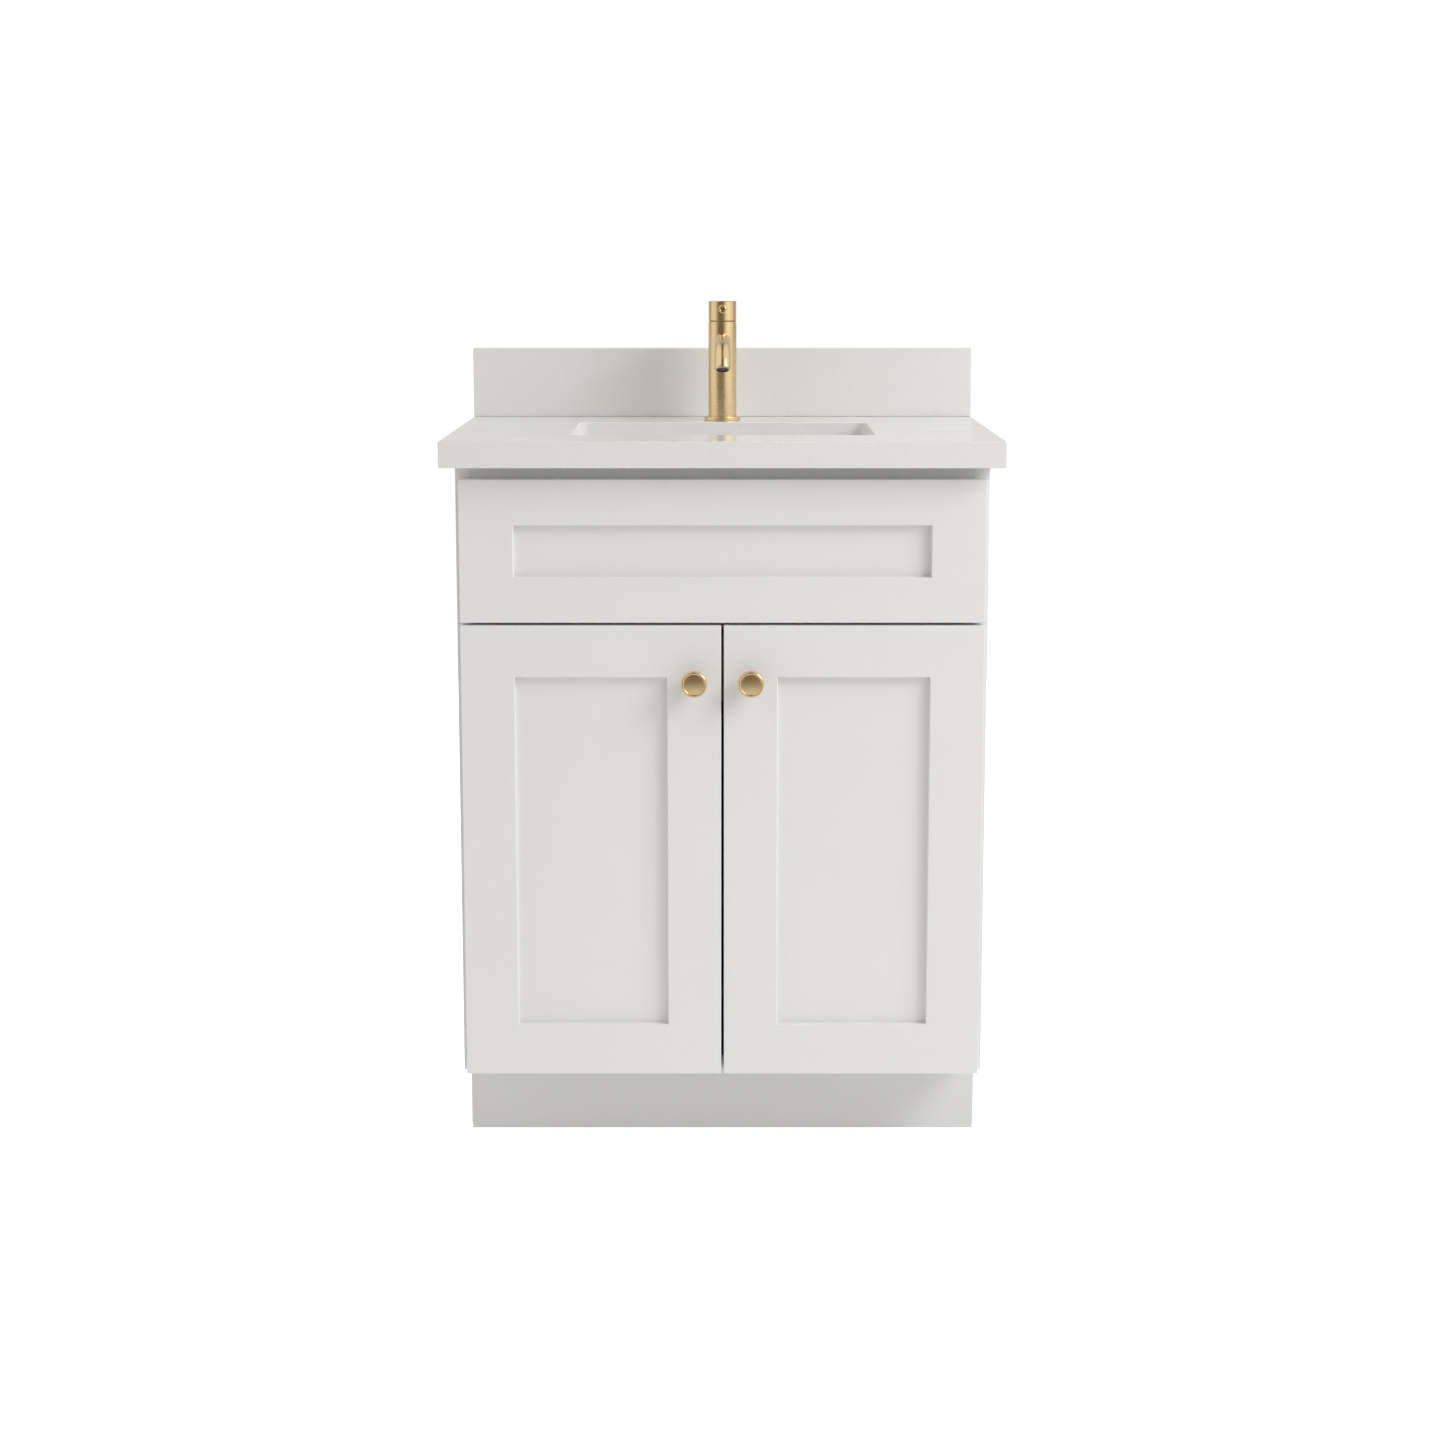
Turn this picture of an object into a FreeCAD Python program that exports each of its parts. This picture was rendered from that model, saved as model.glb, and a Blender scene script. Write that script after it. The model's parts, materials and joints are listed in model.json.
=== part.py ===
import FreeCAD
import Part
import math
import os

# Bathroom vanity cabinet: frameless carcass, false drawer front, two shaker doors on concealed hinges,
# stone top with backsplash, undermount basin, single-lever faucet and pop-up drain.
# Millimetres. +X is the cabinet's right as seen from the front, the front faces -Y, +Z is up.
# The origin is on the floor, below the middle of the countertop.

V = FreeCAD.Vector

# Overall sizes
cabinet_width = 610.0
carcass_depth = 433.0
carcass_height = 810.0
board = 18.0
counter_thickness = 30.0
counter_side_overhang = 14.0
counter_front_overhang = 50.0
backsplash_height = 87.0
backsplash_thickness = 20.0
edge_ease = 1.5

# Base
toe_height = 96.0
toe_setback = 74.5
toe_board_thickness = 12.0
toe_board_side_reveal = 2.0

# Carcass rails
top_rail_height = 80.0
mid_rail_height = 70.0
mid_rail_drop = 5.5
back_rail_height = 100.0
wall_screw_spacing = 406.4
wall_screw_hole_radius = 2.75
dowel_radius = 4.0
dowel_in_side = 12.0
dowel_in_rail = 18.0

# Doors and false drawer front
face_thickness = 19.0
face_gap = 3.0
face_side_reveal = 5.0
face_top_reveal = 15.0
face_bottom_lap = 16.5
false_front_height = 163.5
stile_width = 62.0
door_rail_height = 60.0
false_rail_height = 52.0
panel_thickness = 6.0
panel_recess = 9.5
groove_depth = 10.0
tongue_clearance = 0.5
panel_clearance = 1.0

# Concealed hinges
hinge_from_end = 90.0
cup_radius = 17.5
cup_depth = 13.0
cup_edge = 3.0
cup_wall = 1.0
cup_floor = 0.8
cup_fit = 0.05
pin_from_edge = 7.3
pin_depth = 8.5
pin_radius = 1.25
pin_fit = 0.05
knuckle_radius = 2.5
knuckle_half_length = 3.5
arm_thickness = 2.5
arm_half_width = 6.0
arm_length = 62.0
neck_front = 2.9
neck_back = 0.5
cup_flange_thickness = 1.0
cup_flange_lap = 0.3
cup_flange_reach = 15.0
cup_flange_half_height = 27.5
cup_screw_half_spacing = 22.5
cup_screw_offset = 9.5
cup_screw_length = 10.0
plate_start = 20.0
plate_thickness = 5.8
plate_length = 30.5
plate_half_height = 24.0
plate_core_half_height = 8.0
plate_wing_length = 12.0
plate_screw_half_spacing = 16.0
small_screw_radius = 1.75
small_screw_head_radius = 3.5
small_screw_head = 1.5
plate_screw_radius = 2.2
plate_screw_length = 12.0
arm_screw_short = 1.0
plate_screw_head_radius = 4.0
plate_screw_head = 2.0

# Knobs
knob_radius = 15.0
knob_length = 24.0
knob_neck_radius = 5.2
knob_foot_radius = 7.0
knob_neck_start = 3.6
knob_neck_end = 9.6
knob_disc_start = 14.9
knob_disc_edge = 22.3
knob_face_radius = 11.5
knob_face_dish = 1.0
knob_from_top = 65.0
knob_screw_radius = 1.95
knob_screw_grip = 9.0
knob_screw_hole_radius = 2.2
knob_screw_head = 2.2
bumper_radius = 4.0
bumper_thickness = 2.7
bumper_from_side = 12.0
bumper_from_bottom = 8.0
bumper_from_top = 4.5

# False front fixings
false_screw_from_stile = 10.0
false_screw_from_edge = 26.0
false_screw_bite = 12.0
spacer_radius = 8.0
false_screw_radius = 2.0

# Basin
sink_width = 355.0
sink_length = 232.0
sink_behind_rail = 42.0
sink_corner_radius = 13.0
basin_reveal = 3.0
basin_depth = 140.0
basin_wall = 8.0
basin_corner_radius = 22.0
basin_floor_radius = 20.0
basin_flange_lap = 22.0
basin_flange_thickness = 10.0
drain_dish_depth = 3.0
drain_dish_reveal = 3.0
clip_from_middle = 130.0
clip_width = 20.0
clip_thickness = 3.0
clip_lap = 10.0
clip_leg = 4.0
clip_reach = 14.0
clip_stud_radius = 3.0
clip_stud_in_counter = 15.0
clip_stud_tail = 10.0

# Drain
drain_flange_radius = 31.0
drain_flange_thickness = 3.0
drain_mouth_radius = 21.0
drain_mouth_depth = 12.0
drain_body_radius = 20.0
drain_body_length = 67.0
drain_bore_radius = 14.5
drain_hole_radius = 22.5
drain_socket_depth = 12.0
tailpiece_radius = 15.875
tailpiece_wall = 1.3
tailpiece_fit = 0.1
tailpiece_length = 102.0
tailpiece_thread_radius = 15.5
tailpiece_thread_length = 18.0
gasket_radius = 31.0
gasket_thickness = 6.0
locknut_across_flats = 58.0
locknut_thickness = 10.0
stopper_radius = 27.0
stopper_thickness = 3.5
stopper_rounding = 1.5
stopper_stem_radius = 4.0
stopper_stem_fit = 0.05
stopper_stem_length = 54.0
stopper_seal_radius = 26.0
stopper_seal_thickness = 2.2
stopper_seal_gap = 0.3
guide_from_top = 30.0
guide_height = 8.0
guide_bar_width = 4.0
guide_hub_radius = 8.0

# Faucet
faucet_behind_sink = 47.0
faucet_hole_radius = 17.5
base_radius = 22.5
base_thickness = 5.0
base_ease = 1.0
body_radius = 17.5
cap_inset = 0.2
cap_half_height = 11.8
cap_ease = 0.7
faucet_height = 148.0
dish_clearance = 0.8
rim_ease = 0.6
cartridge_radius = 13.5
cartridge_length = 35.0
cartridge_gap = 0.8
passage_radius = 3.5
passage_half_spacing = 6.3
inlet_radius = 4.5
inlet_depth = 12.0
spindle_radius = 4.5
spindle_fit = 0.05
spindle_foot_radius = 8.0
spindle_foot_thickness = 4.0
spindle_foot_gap = 0.5
spindle_foot_from_bottom = 6.0
cross_pin_radius = 2.0
cross_pin_fit = 0.05
cross_pin_half_length = 11.0
cap_slot_gap = 0.7
tilt_angle = 25.0
lever_radius = 5.0
lever_from_cap_top = 8.75
lever_reach = 62.0
lever_in_cap = 2.3
lever_ease = 1.5
shank_radius = 13.5
shank_in_body = 8.0
shank_below_counter = 35.0
washer_radius = 19.0
washer_thickness = 3.0
nut_across_flats = 36.0
nut_thickness = 9.0
spout_height = 99.0
spout_radius = 10.0
spout_bore_radius = 7.6
spout_run = 61.4
spout_bend_radius = 45.0
spout_bend_angle = 65.0
spout_end_length = 6.6
spout_end_rounding = 2.2
aerator_length = 6.0
aerator_recess = 0.6
aerator_screen_radius = 5.4
aerator_screen_depth = 1.0

# Planes worked out from the sizes above
half_width = cabinet_width / 2
inner_half = half_width - board
counter_half = half_width + counter_side_overhang
counter_depth = carcass_depth + counter_front_overhang
back_y = counter_depth / 2
counter_front = -back_y
carcass_front = counter_front + counter_front_overhang
rail_back = carcass_front + board
counter_bottom = carcass_height
counter_top = carcass_height + counter_thickness
face_rear = carcass_front - face_gap
face_front = face_rear - face_thickness
face_half = half_width - face_side_reveal
panel_front = face_front + panel_recess
panel_back = panel_front + panel_thickness
bottom_top = toe_height + board
door_bottom = bottom_top - face_bottom_lap
false_top = carcass_height - face_top_reveal
false_bottom = false_top - false_front_height
door_top = false_bottom - face_gap
mid_rail_bottom = door_top - mid_rail_drop
mid_rail_top = mid_rail_bottom + mid_rail_height
toe_board_front = carcass_front + toe_setback
toe_board_back = toe_board_front + toe_board_thickness
back_rail_front = back_y - board
hinge_heights = [door_bottom + hinge_from_end, door_top - hinge_from_end]
pin_x = -face_half + pin_from_edge
pin_y = face_rear - pin_depth
cup_x = -face_half + cup_edge + cup_radius
plate_face = -inner_half
arm_x = plate_face + plate_thickness
cup_outer_radius = cup_radius - cup_fit
pin_chord = cup_x - pin_x + pin_radius
pin_half_length = math.sqrt(cup_outer_radius ** 2 - pin_chord ** 2) - cup_fit
sink_front = rail_back + sink_behind_rail
sink_back = sink_front + sink_length
sink_middle = (sink_front + sink_back) / 2
basin_floor = counter_bottom - basin_depth
dish_floor = basin_floor - drain_dish_depth
basin_underside = dish_floor - basin_wall
drain_top = dish_floor + drain_flange_thickness
drain_bottom = dish_floor - drain_body_length
faucet_y = sink_back + faucet_behind_sink
base_top = counter_top + base_thickness
cap_top = counter_top + faucet_height
cap_middle = cap_top - cap_half_height
cap_radius = body_radius - cap_inset
cap_ball_radius = math.hypot(cap_radius, cap_half_height)
dish_radius = cap_ball_radius + dish_clearance
cartridge_top = cap_middle - dish_radius - cartridge_gap
cartridge_bottom = cartridge_top - cartridge_length
spindle_foot_bottom = cartridge_bottom + spindle_foot_from_bottom
washer_bottom = counter_bottom - washer_thickness
nut_bottom = washer_bottom - nut_thickness
spout_z = counter_top + spout_height


def box(x0, x1, y0, y1, z0, z1):
    return Part.makeBox(x1 - x0, y1 - y0, z1 - z0, V(x0, y0, z0))


def rod(radius, start, end):
    return Part.makeCylinder(radius, (end - start).Length, start, end - start)


def upright(radius, x, y, z0, z1):
    return rod(radius, V(x, y, z0), V(x, y, z1))


def mirrored(shape):
    return shape.mirror(V(0, 0, 0), V(1, 0, 0))


def both_sides(shapes):
    return Part.makeCompound(shapes + [mirrored(shape) for shape in shapes])


def cut_all(shape, tools):
    for tool in tools:
        shape = shape.cut(tool)
    return shape


def fused(shapes):
    whole = shapes[0]
    for shape in shapes[1:]:
        whole = whole.fuse(shape)
    return whole.removeSplitter()


def edges_at(shape, test):
    return [edge for edge in shape.Edges if test(edge.BoundBox)]


def hexagon(across_flats, x, y, z0, z1):
    corner = across_flats / math.sqrt(3)
    turns = [math.radians(60 * step) for step in range(7)]
    points = [V(x + corner * math.cos(a), y + corner * math.sin(a), z0) for a in turns]
    return Part.Face(Part.makePolygon(points)).extrude(V(0, 0, z1 - z0))


def rounded_block(half_x, y0, y1, z0, z1, radius):
    block = box(-half_x, half_x, y0, y1, z0, z1)
    corners = edges_at(block, lambda b: b.ZLength > max(b.XLength, b.YLength))
    return block.makeFillet(radius, corners)


def save(name, shape):
    shape.exportStep("parts/" + name + ".step")


# Carcass

def dowel_places():
    rail_y = (carcass_front + rail_back) / 2
    back_rail_y = (back_rail_front + back_y) / 2
    inset = 20.0
    places = [(y, toe_height + board / 2) for y in (carcass_front + 2 * inset, 0, back_y - 2 * inset)]
    uprights = [
        (rail_y, carcass_height - top_rail_height, carcass_height),
        (rail_y, mid_rail_bottom, mid_rail_top),
        (back_rail_y, carcass_height - back_rail_height, carcass_height),
        (back_rail_y, bottom_top, carcass_height - back_rail_height),
    ]
    for y, low, high in uprights:
        places += [(y, low + inset), (y, high - inset)]
    return places


def left_dowels():
    ends = (-inner_half - dowel_in_side, -inner_half + dowel_in_rail)
    return [rod(dowel_radius, V(ends[0], y, z), V(ends[1], y, z)) for y, z in dowel_places()]


def all_dowels():
    dowels = left_dowels()
    return dowels + [mirrored(dowel) for dowel in dowels]


def side_panel():
    side = box(-half_width, -inner_half, carcass_front, back_y, 0, carcass_height)
    notch = box(-half_width, -inner_half, carcass_front, toe_board_back, 0, toe_height)
    return cut_all(side, [notch] + left_dowels() + plate_screws())


def cross_board(y0, y1, z0, z1, holes):
    return cut_all(box(-inner_half, inner_half, y0, y1, z0, z1), all_dowels() + holes)


def wall_screw_holes():
    z = carcass_height - back_rail_height / 2
    half = wall_screw_spacing / 2
    return [rod(wall_screw_hole_radius, V(x, back_rail_front, z), V(x, back_y, z)) for x in (-half, half)]


def toe_kick_board():
    half = half_width - toe_board_side_reveal
    return box(-half, half, toe_board_front, toe_board_back, 0, toe_height)


def save_carcass():
    side = side_panel()
    save("side_panel_left", side)
    save("side_panel_right", mirrored(side))
    save("bottom_panel", cross_board(carcass_front, back_y, toe_height, bottom_top, []))
    top_rail_bottom = carcass_height - top_rail_height
    rail_holes = false_screws()
    save("top_front_rail", cross_board(carcass_front, rail_back, top_rail_bottom, carcass_height, rail_holes))
    save("mid_rail", cross_board(carcass_front, rail_back, mid_rail_bottom, mid_rail_top, rail_holes))
    upper_bottom = carcass_height - back_rail_height
    upper = cross_board(back_rail_front, back_y, upper_bottom, carcass_height, wall_screw_holes())
    save("back_rail_upper", upper)
    save("back_panel", cross_board(back_rail_front, back_y, bottom_top, upper_bottom, []))
    save("toe_kick_board", toe_kick_board())
    save("carcass_dowels", Part.makeCompound(all_dowels()))


# Frame and panel faces, shared by the doors and the false drawer front

def frame_stile(x_outer, x_inner, z0, z1):
    stile = box(min(x_outer, x_inner), max(x_outer, x_inner), face_front, face_rear, z0, z1)
    groove_end = x_inner - math.copysign(groove_depth, x_inner - x_outer)
    groove = box(min(groove_end, x_inner), max(groove_end, x_inner), panel_front, panel_back, z0, z1)
    return stile.cut(groove)


def frame_rail(x0, x1, z_outer, z_inner):
    low, high = min(z_outer, z_inner), max(z_outer, z_inner)
    tongue = groove_depth - tongue_clearance
    rail = box(x0, x1, face_front, face_rear, low, high)
    rail = rail.fuse(box(x0 - tongue, x1 + tongue, panel_front, panel_back, low, high))
    groove_end = z_inner - math.copysign(groove_depth, z_inner - z_outer)
    groove_low, groove_high = min(groove_end, z_inner), max(groove_end, z_inner)
    return rail.cut(box(x0 - tongue, x1 + tongue, panel_front, panel_back, groove_low, groove_high))


def frame_panel(x0, x1, z0, z1):
    lap = groove_depth - panel_clearance
    return box(x0 - lap, x1 + lap, panel_front, panel_back, z0 - lap, z1 + lap)


# False drawer front

def false_screw_places():
    heights = (false_bottom + false_screw_from_edge, false_top - false_screw_from_edge)
    half = face_half - stile_width - false_screw_from_stile
    return [(x, z) for x in (-half, half) for z in heights]


def false_screws():
    screws = []
    for x, z in false_screw_places():
        shank = rod(false_screw_radius, V(x, rail_back, z), V(x, face_rear - false_screw_bite, z))
        head = rod(plate_screw_head_radius, V(x, rail_back, z), V(x, rail_back + plate_screw_head, z))
        screws.append(fused([shank, head]))
    return screws


def false_spacers():
    spacers = []
    for x, z in false_screw_places():
        disc = rod(spacer_radius, V(x, face_rear, z), V(x, carcass_front, z))
        spacers.append(cut_all(disc, false_screws()))
    return spacers


def save_false_front():
    inner = face_half - stile_width
    low, high = false_bottom + false_rail_height, false_top - false_rail_height
    save("false_front_stile_left", frame_stile(-face_half, -inner, false_bottom, false_top))
    save("false_front_stile_right", frame_stile(face_half, inner, false_bottom, false_top))
    top = frame_rail(-inner, inner, false_top, high)
    bottom = frame_rail(-inner, inner, false_bottom, low)
    save("false_front_rail_top", cut_all(top, false_screws()))
    save("false_front_rail_bottom", cut_all(bottom, false_screws()))
    save("false_front_panel", frame_panel(-inner, inner, low, high))
    save("false_front_spacers", Part.makeCompound(false_spacers()))
    save("false_front_screws", Part.makeCompound(false_screws()))


# Hinge halves on the carcass, drawn for the left door

def hinge_arm(z):
    half = knuckle_half_length
    knuckle = upright(knuckle_radius, pin_x, pin_y, z - half, z + half)
    arm_back = arm_x + arm_thickness
    neck_low, neck_high = pin_y - neck_front, pin_y - neck_back
    neck = box(pin_x, arm_back, neck_low, neck_high, z - half, z + half)
    arm = box(arm_x, arm_back, neck_low, pin_y + arm_length, z - arm_half_width, z + arm_half_width)
    bore = upright(pin_radius + pin_fit, pin_x, pin_y, z - half, z + half)
    return cut_all(fused([knuckle, neck, arm]), [bore] + arm_screws())


def hinge_plate(z):
    y0 = carcass_front + plate_start
    y1 = y0 + plate_length
    middle = (y0 + y1) / 2
    wing = plate_wing_length / 2
    core = box(plate_face, arm_x, y0, y1, z - plate_core_half_height, z + plate_core_half_height)
    wings = box(plate_face, arm_x, middle - wing, middle + wing, z - plate_half_height, z + plate_half_height)
    return cut_all(fused([core, wings]), plate_screws() + arm_screws())


def plate_middle():
    return carcass_front + plate_start + plate_length / 2


def side_screw(x, y, z, length):
    shank = rod(plate_screw_radius, V(x, y, z), V(x - length, y, z))
    head = rod(plate_screw_head_radius, V(x, y, z), V(x + plate_screw_head, y, z))
    return fused([shank, head])


def plate_screws():
    length = plate_thickness + plate_screw_length
    heights = [z + side * plate_screw_half_spacing for z in hinge_heights for side in (-1, 1)]
    return [side_screw(arm_x, plate_middle(), height, length) for height in heights]


def arm_screws():
    x = arm_x + arm_thickness
    length = arm_thickness + plate_thickness - arm_screw_short
    return [side_screw(x, plate_middle(), z, length) for z in hinge_heights]


def save_hinges():
    save("hinge_arms", both_sides([hinge_arm(z) for z in hinge_heights]))
    save("hinge_plates", both_sides([hinge_plate(z) for z in hinge_heights]))
    save("hinge_screws", both_sides(plate_screws() + arm_screws()))


# Doors, drawn for the left door

def hinge_pin(z):
    return upright(pin_radius, pin_x, pin_y, z - pin_half_length, z + pin_half_length)


def hinge_cup(z):
    bottom = face_rear - cup_depth + cup_fit
    shell = rod(cup_outer_radius, V(cup_x, bottom, z), V(cup_x, face_rear, z))
    flange_back = face_rear + cup_flange_thickness
    rim = rod(cup_radius + cup_flange_lap, V(cup_x, face_rear, z), V(cup_x, flange_back, z))
    reach = cup_x + cup_flange_reach
    half = cup_flange_half_height
    ears = box(cup_x, reach, face_rear, flange_back, z - half, z + half)
    hollow = rod(cup_outer_radius - cup_wall, V(cup_x, bottom + cup_floor, z), V(cup_x, flange_back, z))
    return cut_all(fused([shell, rim, ears]), [hollow, hinge_pin(z)] + cup_screws(z))


def cup_screws(z):
    x = cup_x + cup_screw_offset
    seat = face_rear + cup_flange_thickness
    screws = []
    for height in (z - cup_screw_half_spacing, z + cup_screw_half_spacing):
        shank = rod(small_screw_radius, V(x, seat, height), V(x, face_rear - cup_screw_length, height))
        head = rod(small_screw_head_radius, V(x, seat, height), V(x, seat + small_screw_head, height))
        screws.append(fused([shank, head]))
    return screws


def knob_place():
    return -face_gap / 2 - stile_width / 2, door_top - knob_from_top


def knob_screw():
    x, z = knob_place()
    shank = rod(knob_screw_radius, V(x, face_rear, z), V(x, face_front - knob_screw_grip, z))
    head = rod(plate_screw_head_radius, V(x, face_rear, z), V(x, face_rear + knob_screw_head, z))
    return fused([shank, head])


def knob():
    x, z = knob_place()
    profile = [
        (0, 0),
        (knob_foot_radius, 0),
        (knob_neck_radius, knob_neck_start),
        (knob_neck_radius, knob_neck_end),
        (knob_radius, knob_disc_start),
        (knob_radius, knob_disc_edge),
        (knob_face_radius + knob_face_dish, knob_length),
        (knob_face_radius, knob_length - knob_face_dish),
        (0, knob_length - knob_face_dish),
        (0, 0),
    ]
    points = [V(x + radius, face_front - out, z) for radius, out in profile]
    turned = Part.Face(Part.makePolygon(points)).revolve(V(x, 0, z), V(0, 1, 0), 360)
    return turned.cut(knob_screw())


def bumpers():
    x = -face_gap / 2 - bumper_from_side
    heights = (door_bottom + bumper_from_bottom, door_top - bumper_from_top)
    back = face_rear + bumper_thickness
    return [rod(bumper_radius, V(x, face_rear, z), V(x, back, z)) for z in heights]


def door_hinge_stile():
    stile = frame_stile(-face_half, -face_half + stile_width, door_bottom, door_top)
    for z in hinge_heights:
        bore = rod(cup_radius, V(cup_x, face_rear - cup_depth, z), V(cup_x, face_rear, z))
        stile = cut_all(stile, [bore] + cup_screws(z))
    return stile


def door_latch_stile():
    stile = frame_stile(-face_gap / 2, -face_gap / 2 - stile_width, door_bottom, door_top)
    x, z = knob_place()
    return stile.cut(rod(knob_screw_hole_radius, V(x, face_front, z), V(x, face_rear, z)))


def left_door():
    x0, x1 = -face_half + stile_width, -face_gap / 2 - stile_width
    low, high = door_bottom + door_rail_height, door_top - door_rail_height
    screws = [knob_screw()]
    for z in hinge_heights:
        screws += cup_screws(z)
    return {
        "door_hinge_stile": door_hinge_stile(),
        "door_latch_stile": door_latch_stile(),
        "door_rail_top": frame_rail(x0, x1, door_top, high),
        "door_rail_bottom": frame_rail(x0, x1, door_bottom, low),
        "door_panel": frame_panel(x0, x1, low, high),
        "knob": knob(),
        "door_screws": Part.makeCompound(screws),
        "hinge_cups": Part.makeCompound([hinge_cup(z) for z in hinge_heights]),
        "hinge_pins": Part.makeCompound([hinge_pin(z) for z in hinge_heights]),
        "door_bumpers": Part.makeCompound(bumpers()),
    }


def save_doors():
    for name, shape in left_door().items():
        save("left_" + name, shape)
        save("right_" + name, mirrored(shape))


# Top and basin

def countertop():
    slab = box(-counter_half, counter_half, counter_front, back_y, counter_bottom, counter_top)
    rims = edges_at(slab, lambda b: b.ZLength < edge_ease and b.YMin < back_y - edge_ease)
    slab = slab.makeFillet(edge_ease, rims)
    half = sink_width / 2
    opening = rounded_block(half, sink_front, sink_back, counter_bottom, counter_top, sink_corner_radius)
    hole = upright(faucet_hole_radius, 0, faucet_y, counter_bottom, counter_top)
    return cut_all(slab, [opening, hole] + clip_studs())


def backsplash():
    top = counter_top + backsplash_height
    slab = box(-counter_half, counter_half, back_y - backsplash_thickness, back_y, counter_top, top)
    rims = edges_at(slab, lambda b: b.ZLength < edge_ease and b.ZMin > top - edge_ease)
    rims = [edge for edge in rims if edge.BoundBox.YMin < back_y - edge_ease]
    return slab.makeFillet(edge_ease, rims)


def basin_block(grow, z0, floor_radius):
    half = sink_width / 2 + basin_reveal + grow
    y0 = sink_front - basin_reveal - grow
    y1 = sink_back + basin_reveal + grow
    block = rounded_block(half, y0, y1, z0, counter_bottom, basin_corner_radius + grow)
    floor_rim = edges_at(block, lambda b: b.ZMax < z0 + floor_radius)
    return block.makeFillet(floor_radius, floor_rim)


def sink_basin():
    outer = basin_block(basin_wall, basin_underside, basin_floor_radius + basin_wall)
    grow = basin_flange_lap
    half = sink_width / 2 + basin_reveal + grow
    y0 = sink_front - basin_reveal - grow
    y1 = sink_back + basin_reveal + grow
    flange_bottom = counter_bottom - basin_flange_thickness
    flange = rounded_block(half, y0, y1, flange_bottom, counter_bottom, basin_corner_radius + grow)
    inner = basin_block(0, basin_floor, basin_floor_radius)
    dish_low = drain_flange_radius + drain_dish_reveal
    dish_high = sink_length / 2 - basin_floor_radius
    dish = Part.makeCone(dish_low, dish_high, drain_dish_depth, V(0, sink_middle, dish_floor))
    hole = upright(drain_hole_radius, 0, sink_middle, basin_underside, dish_floor)
    return cut_all(fused([outer, flange]), [inner, dish, hole])


def clip_places():
    reach = basin_reveal + basin_flange_lap
    rims = ((sink_front - reach, -1), (sink_back + reach, 1))
    return [(x, y, side) for x in (-clip_from_middle, clip_from_middle) for y, side in rims]


def clip_studs():
    studs = []
    low = counter_bottom - basin_flange_thickness - clip_stud_tail
    for x, y, side in clip_places():
        stud_y = y + side * clip_reach / 2
        studs.append(upright(clip_stud_radius, x, stud_y, low, counter_bottom + clip_stud_in_counter))
    return studs


def sink_clips():
    flange_bottom = counter_bottom - basin_flange_thickness
    clips = []
    for x, y, side in clip_places():
        inner, outer = y - side * clip_lap, y + side * clip_reach
        leg = outer - side * clip_leg
        x0, x1 = x - clip_width / 2, x + clip_width / 2
        low, high = min(inner, outer), max(inner, outer)
        plate = box(x0, x1, low, high, flange_bottom - clip_thickness, flange_bottom)
        foot = box(x0, x1, min(leg, outer), max(leg, outer), flange_bottom, counter_bottom)
        clips.append(cut_all(fused([plate, foot]), clip_studs()))
    return Part.makeCompound(clips + clip_studs())


def save_top():
    save("countertop", countertop())
    save("backsplash", backsplash())
    save("sink_basin", sink_basin())
    save("sink_clips", sink_clips())


# Drain

def drain_body():
    socket_top = drain_bottom + drain_socket_depth
    mouth_bottom = drain_top - drain_mouth_depth
    flange = upright(drain_flange_radius, 0, sink_middle, dish_floor, drain_top)
    tube = upright(drain_body_radius, 0, sink_middle, drain_bottom, dish_floor)
    bore = upright(drain_bore_radius, 0, sink_middle, socket_top, mouth_bottom)
    socket = upright(tailpiece_thread_radius + tailpiece_fit, 0, sink_middle, drain_bottom, socket_top)
    mouth_centre = V(0, sink_middle, mouth_bottom)
    mouth = Part.makeCone(drain_bore_radius, drain_mouth_radius, drain_mouth_depth, mouth_centre)
    shell = cut_all(fused([flange, tube]), [bore, socket, mouth])
    guide_top = drain_top - guide_from_top
    guide_bottom = guide_top - guide_height
    reach = drain_bore_radius + (drain_body_radius - drain_bore_radius) / 2
    half = guide_bar_width / 2
    bar_x = box(-reach, reach, sink_middle - half, sink_middle + half, guide_bottom, guide_top)
    bar_y = box(-half, half, sink_middle - reach, sink_middle + reach, guide_bottom, guide_top)
    hub = upright(guide_hub_radius, 0, sink_middle, guide_bottom, guide_top)
    guide_bore = upright(stopper_stem_radius + stopper_stem_fit, 0, sink_middle, guide_bottom, guide_top)
    return fused([shell, bar_x, bar_y, hub]).cut(guide_bore)


def drain_tailpiece():
    # The upper end is turned down for the thread that screws into the drain body.
    top = drain_bottom + drain_socket_depth
    bottom = top - tailpiece_length
    shoulder = top - tailpiece_thread_length
    tube = upright(tailpiece_radius, 0, sink_middle, bottom, shoulder)
    thread = upright(tailpiece_thread_radius, 0, sink_middle, shoulder, top)
    return fused([tube, thread]).cut(upright(tailpiece_radius - tailpiece_wall, 0, sink_middle, bottom, top))


def drain_stopper():
    seal_top = drain_top + stopper_seal_gap + stopper_seal_thickness
    top = seal_top + stopper_thickness
    cap = upright(stopper_radius, 0, sink_middle, seal_top, top)
    cap = cap.makeFillet(stopper_rounding, edges_at(cap, lambda b: b.ZMin > top - stopper_rounding))
    stem = upright(stopper_stem_radius, 0, sink_middle, seal_top - stopper_stem_length, seal_top)
    return fused([cap, stem])


def stopper_seal():
    low = drain_top + stopper_seal_gap
    ring = upright(stopper_seal_radius, 0, sink_middle, low, low + stopper_seal_thickness)
    return ring.cut(drain_stopper())


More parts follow.
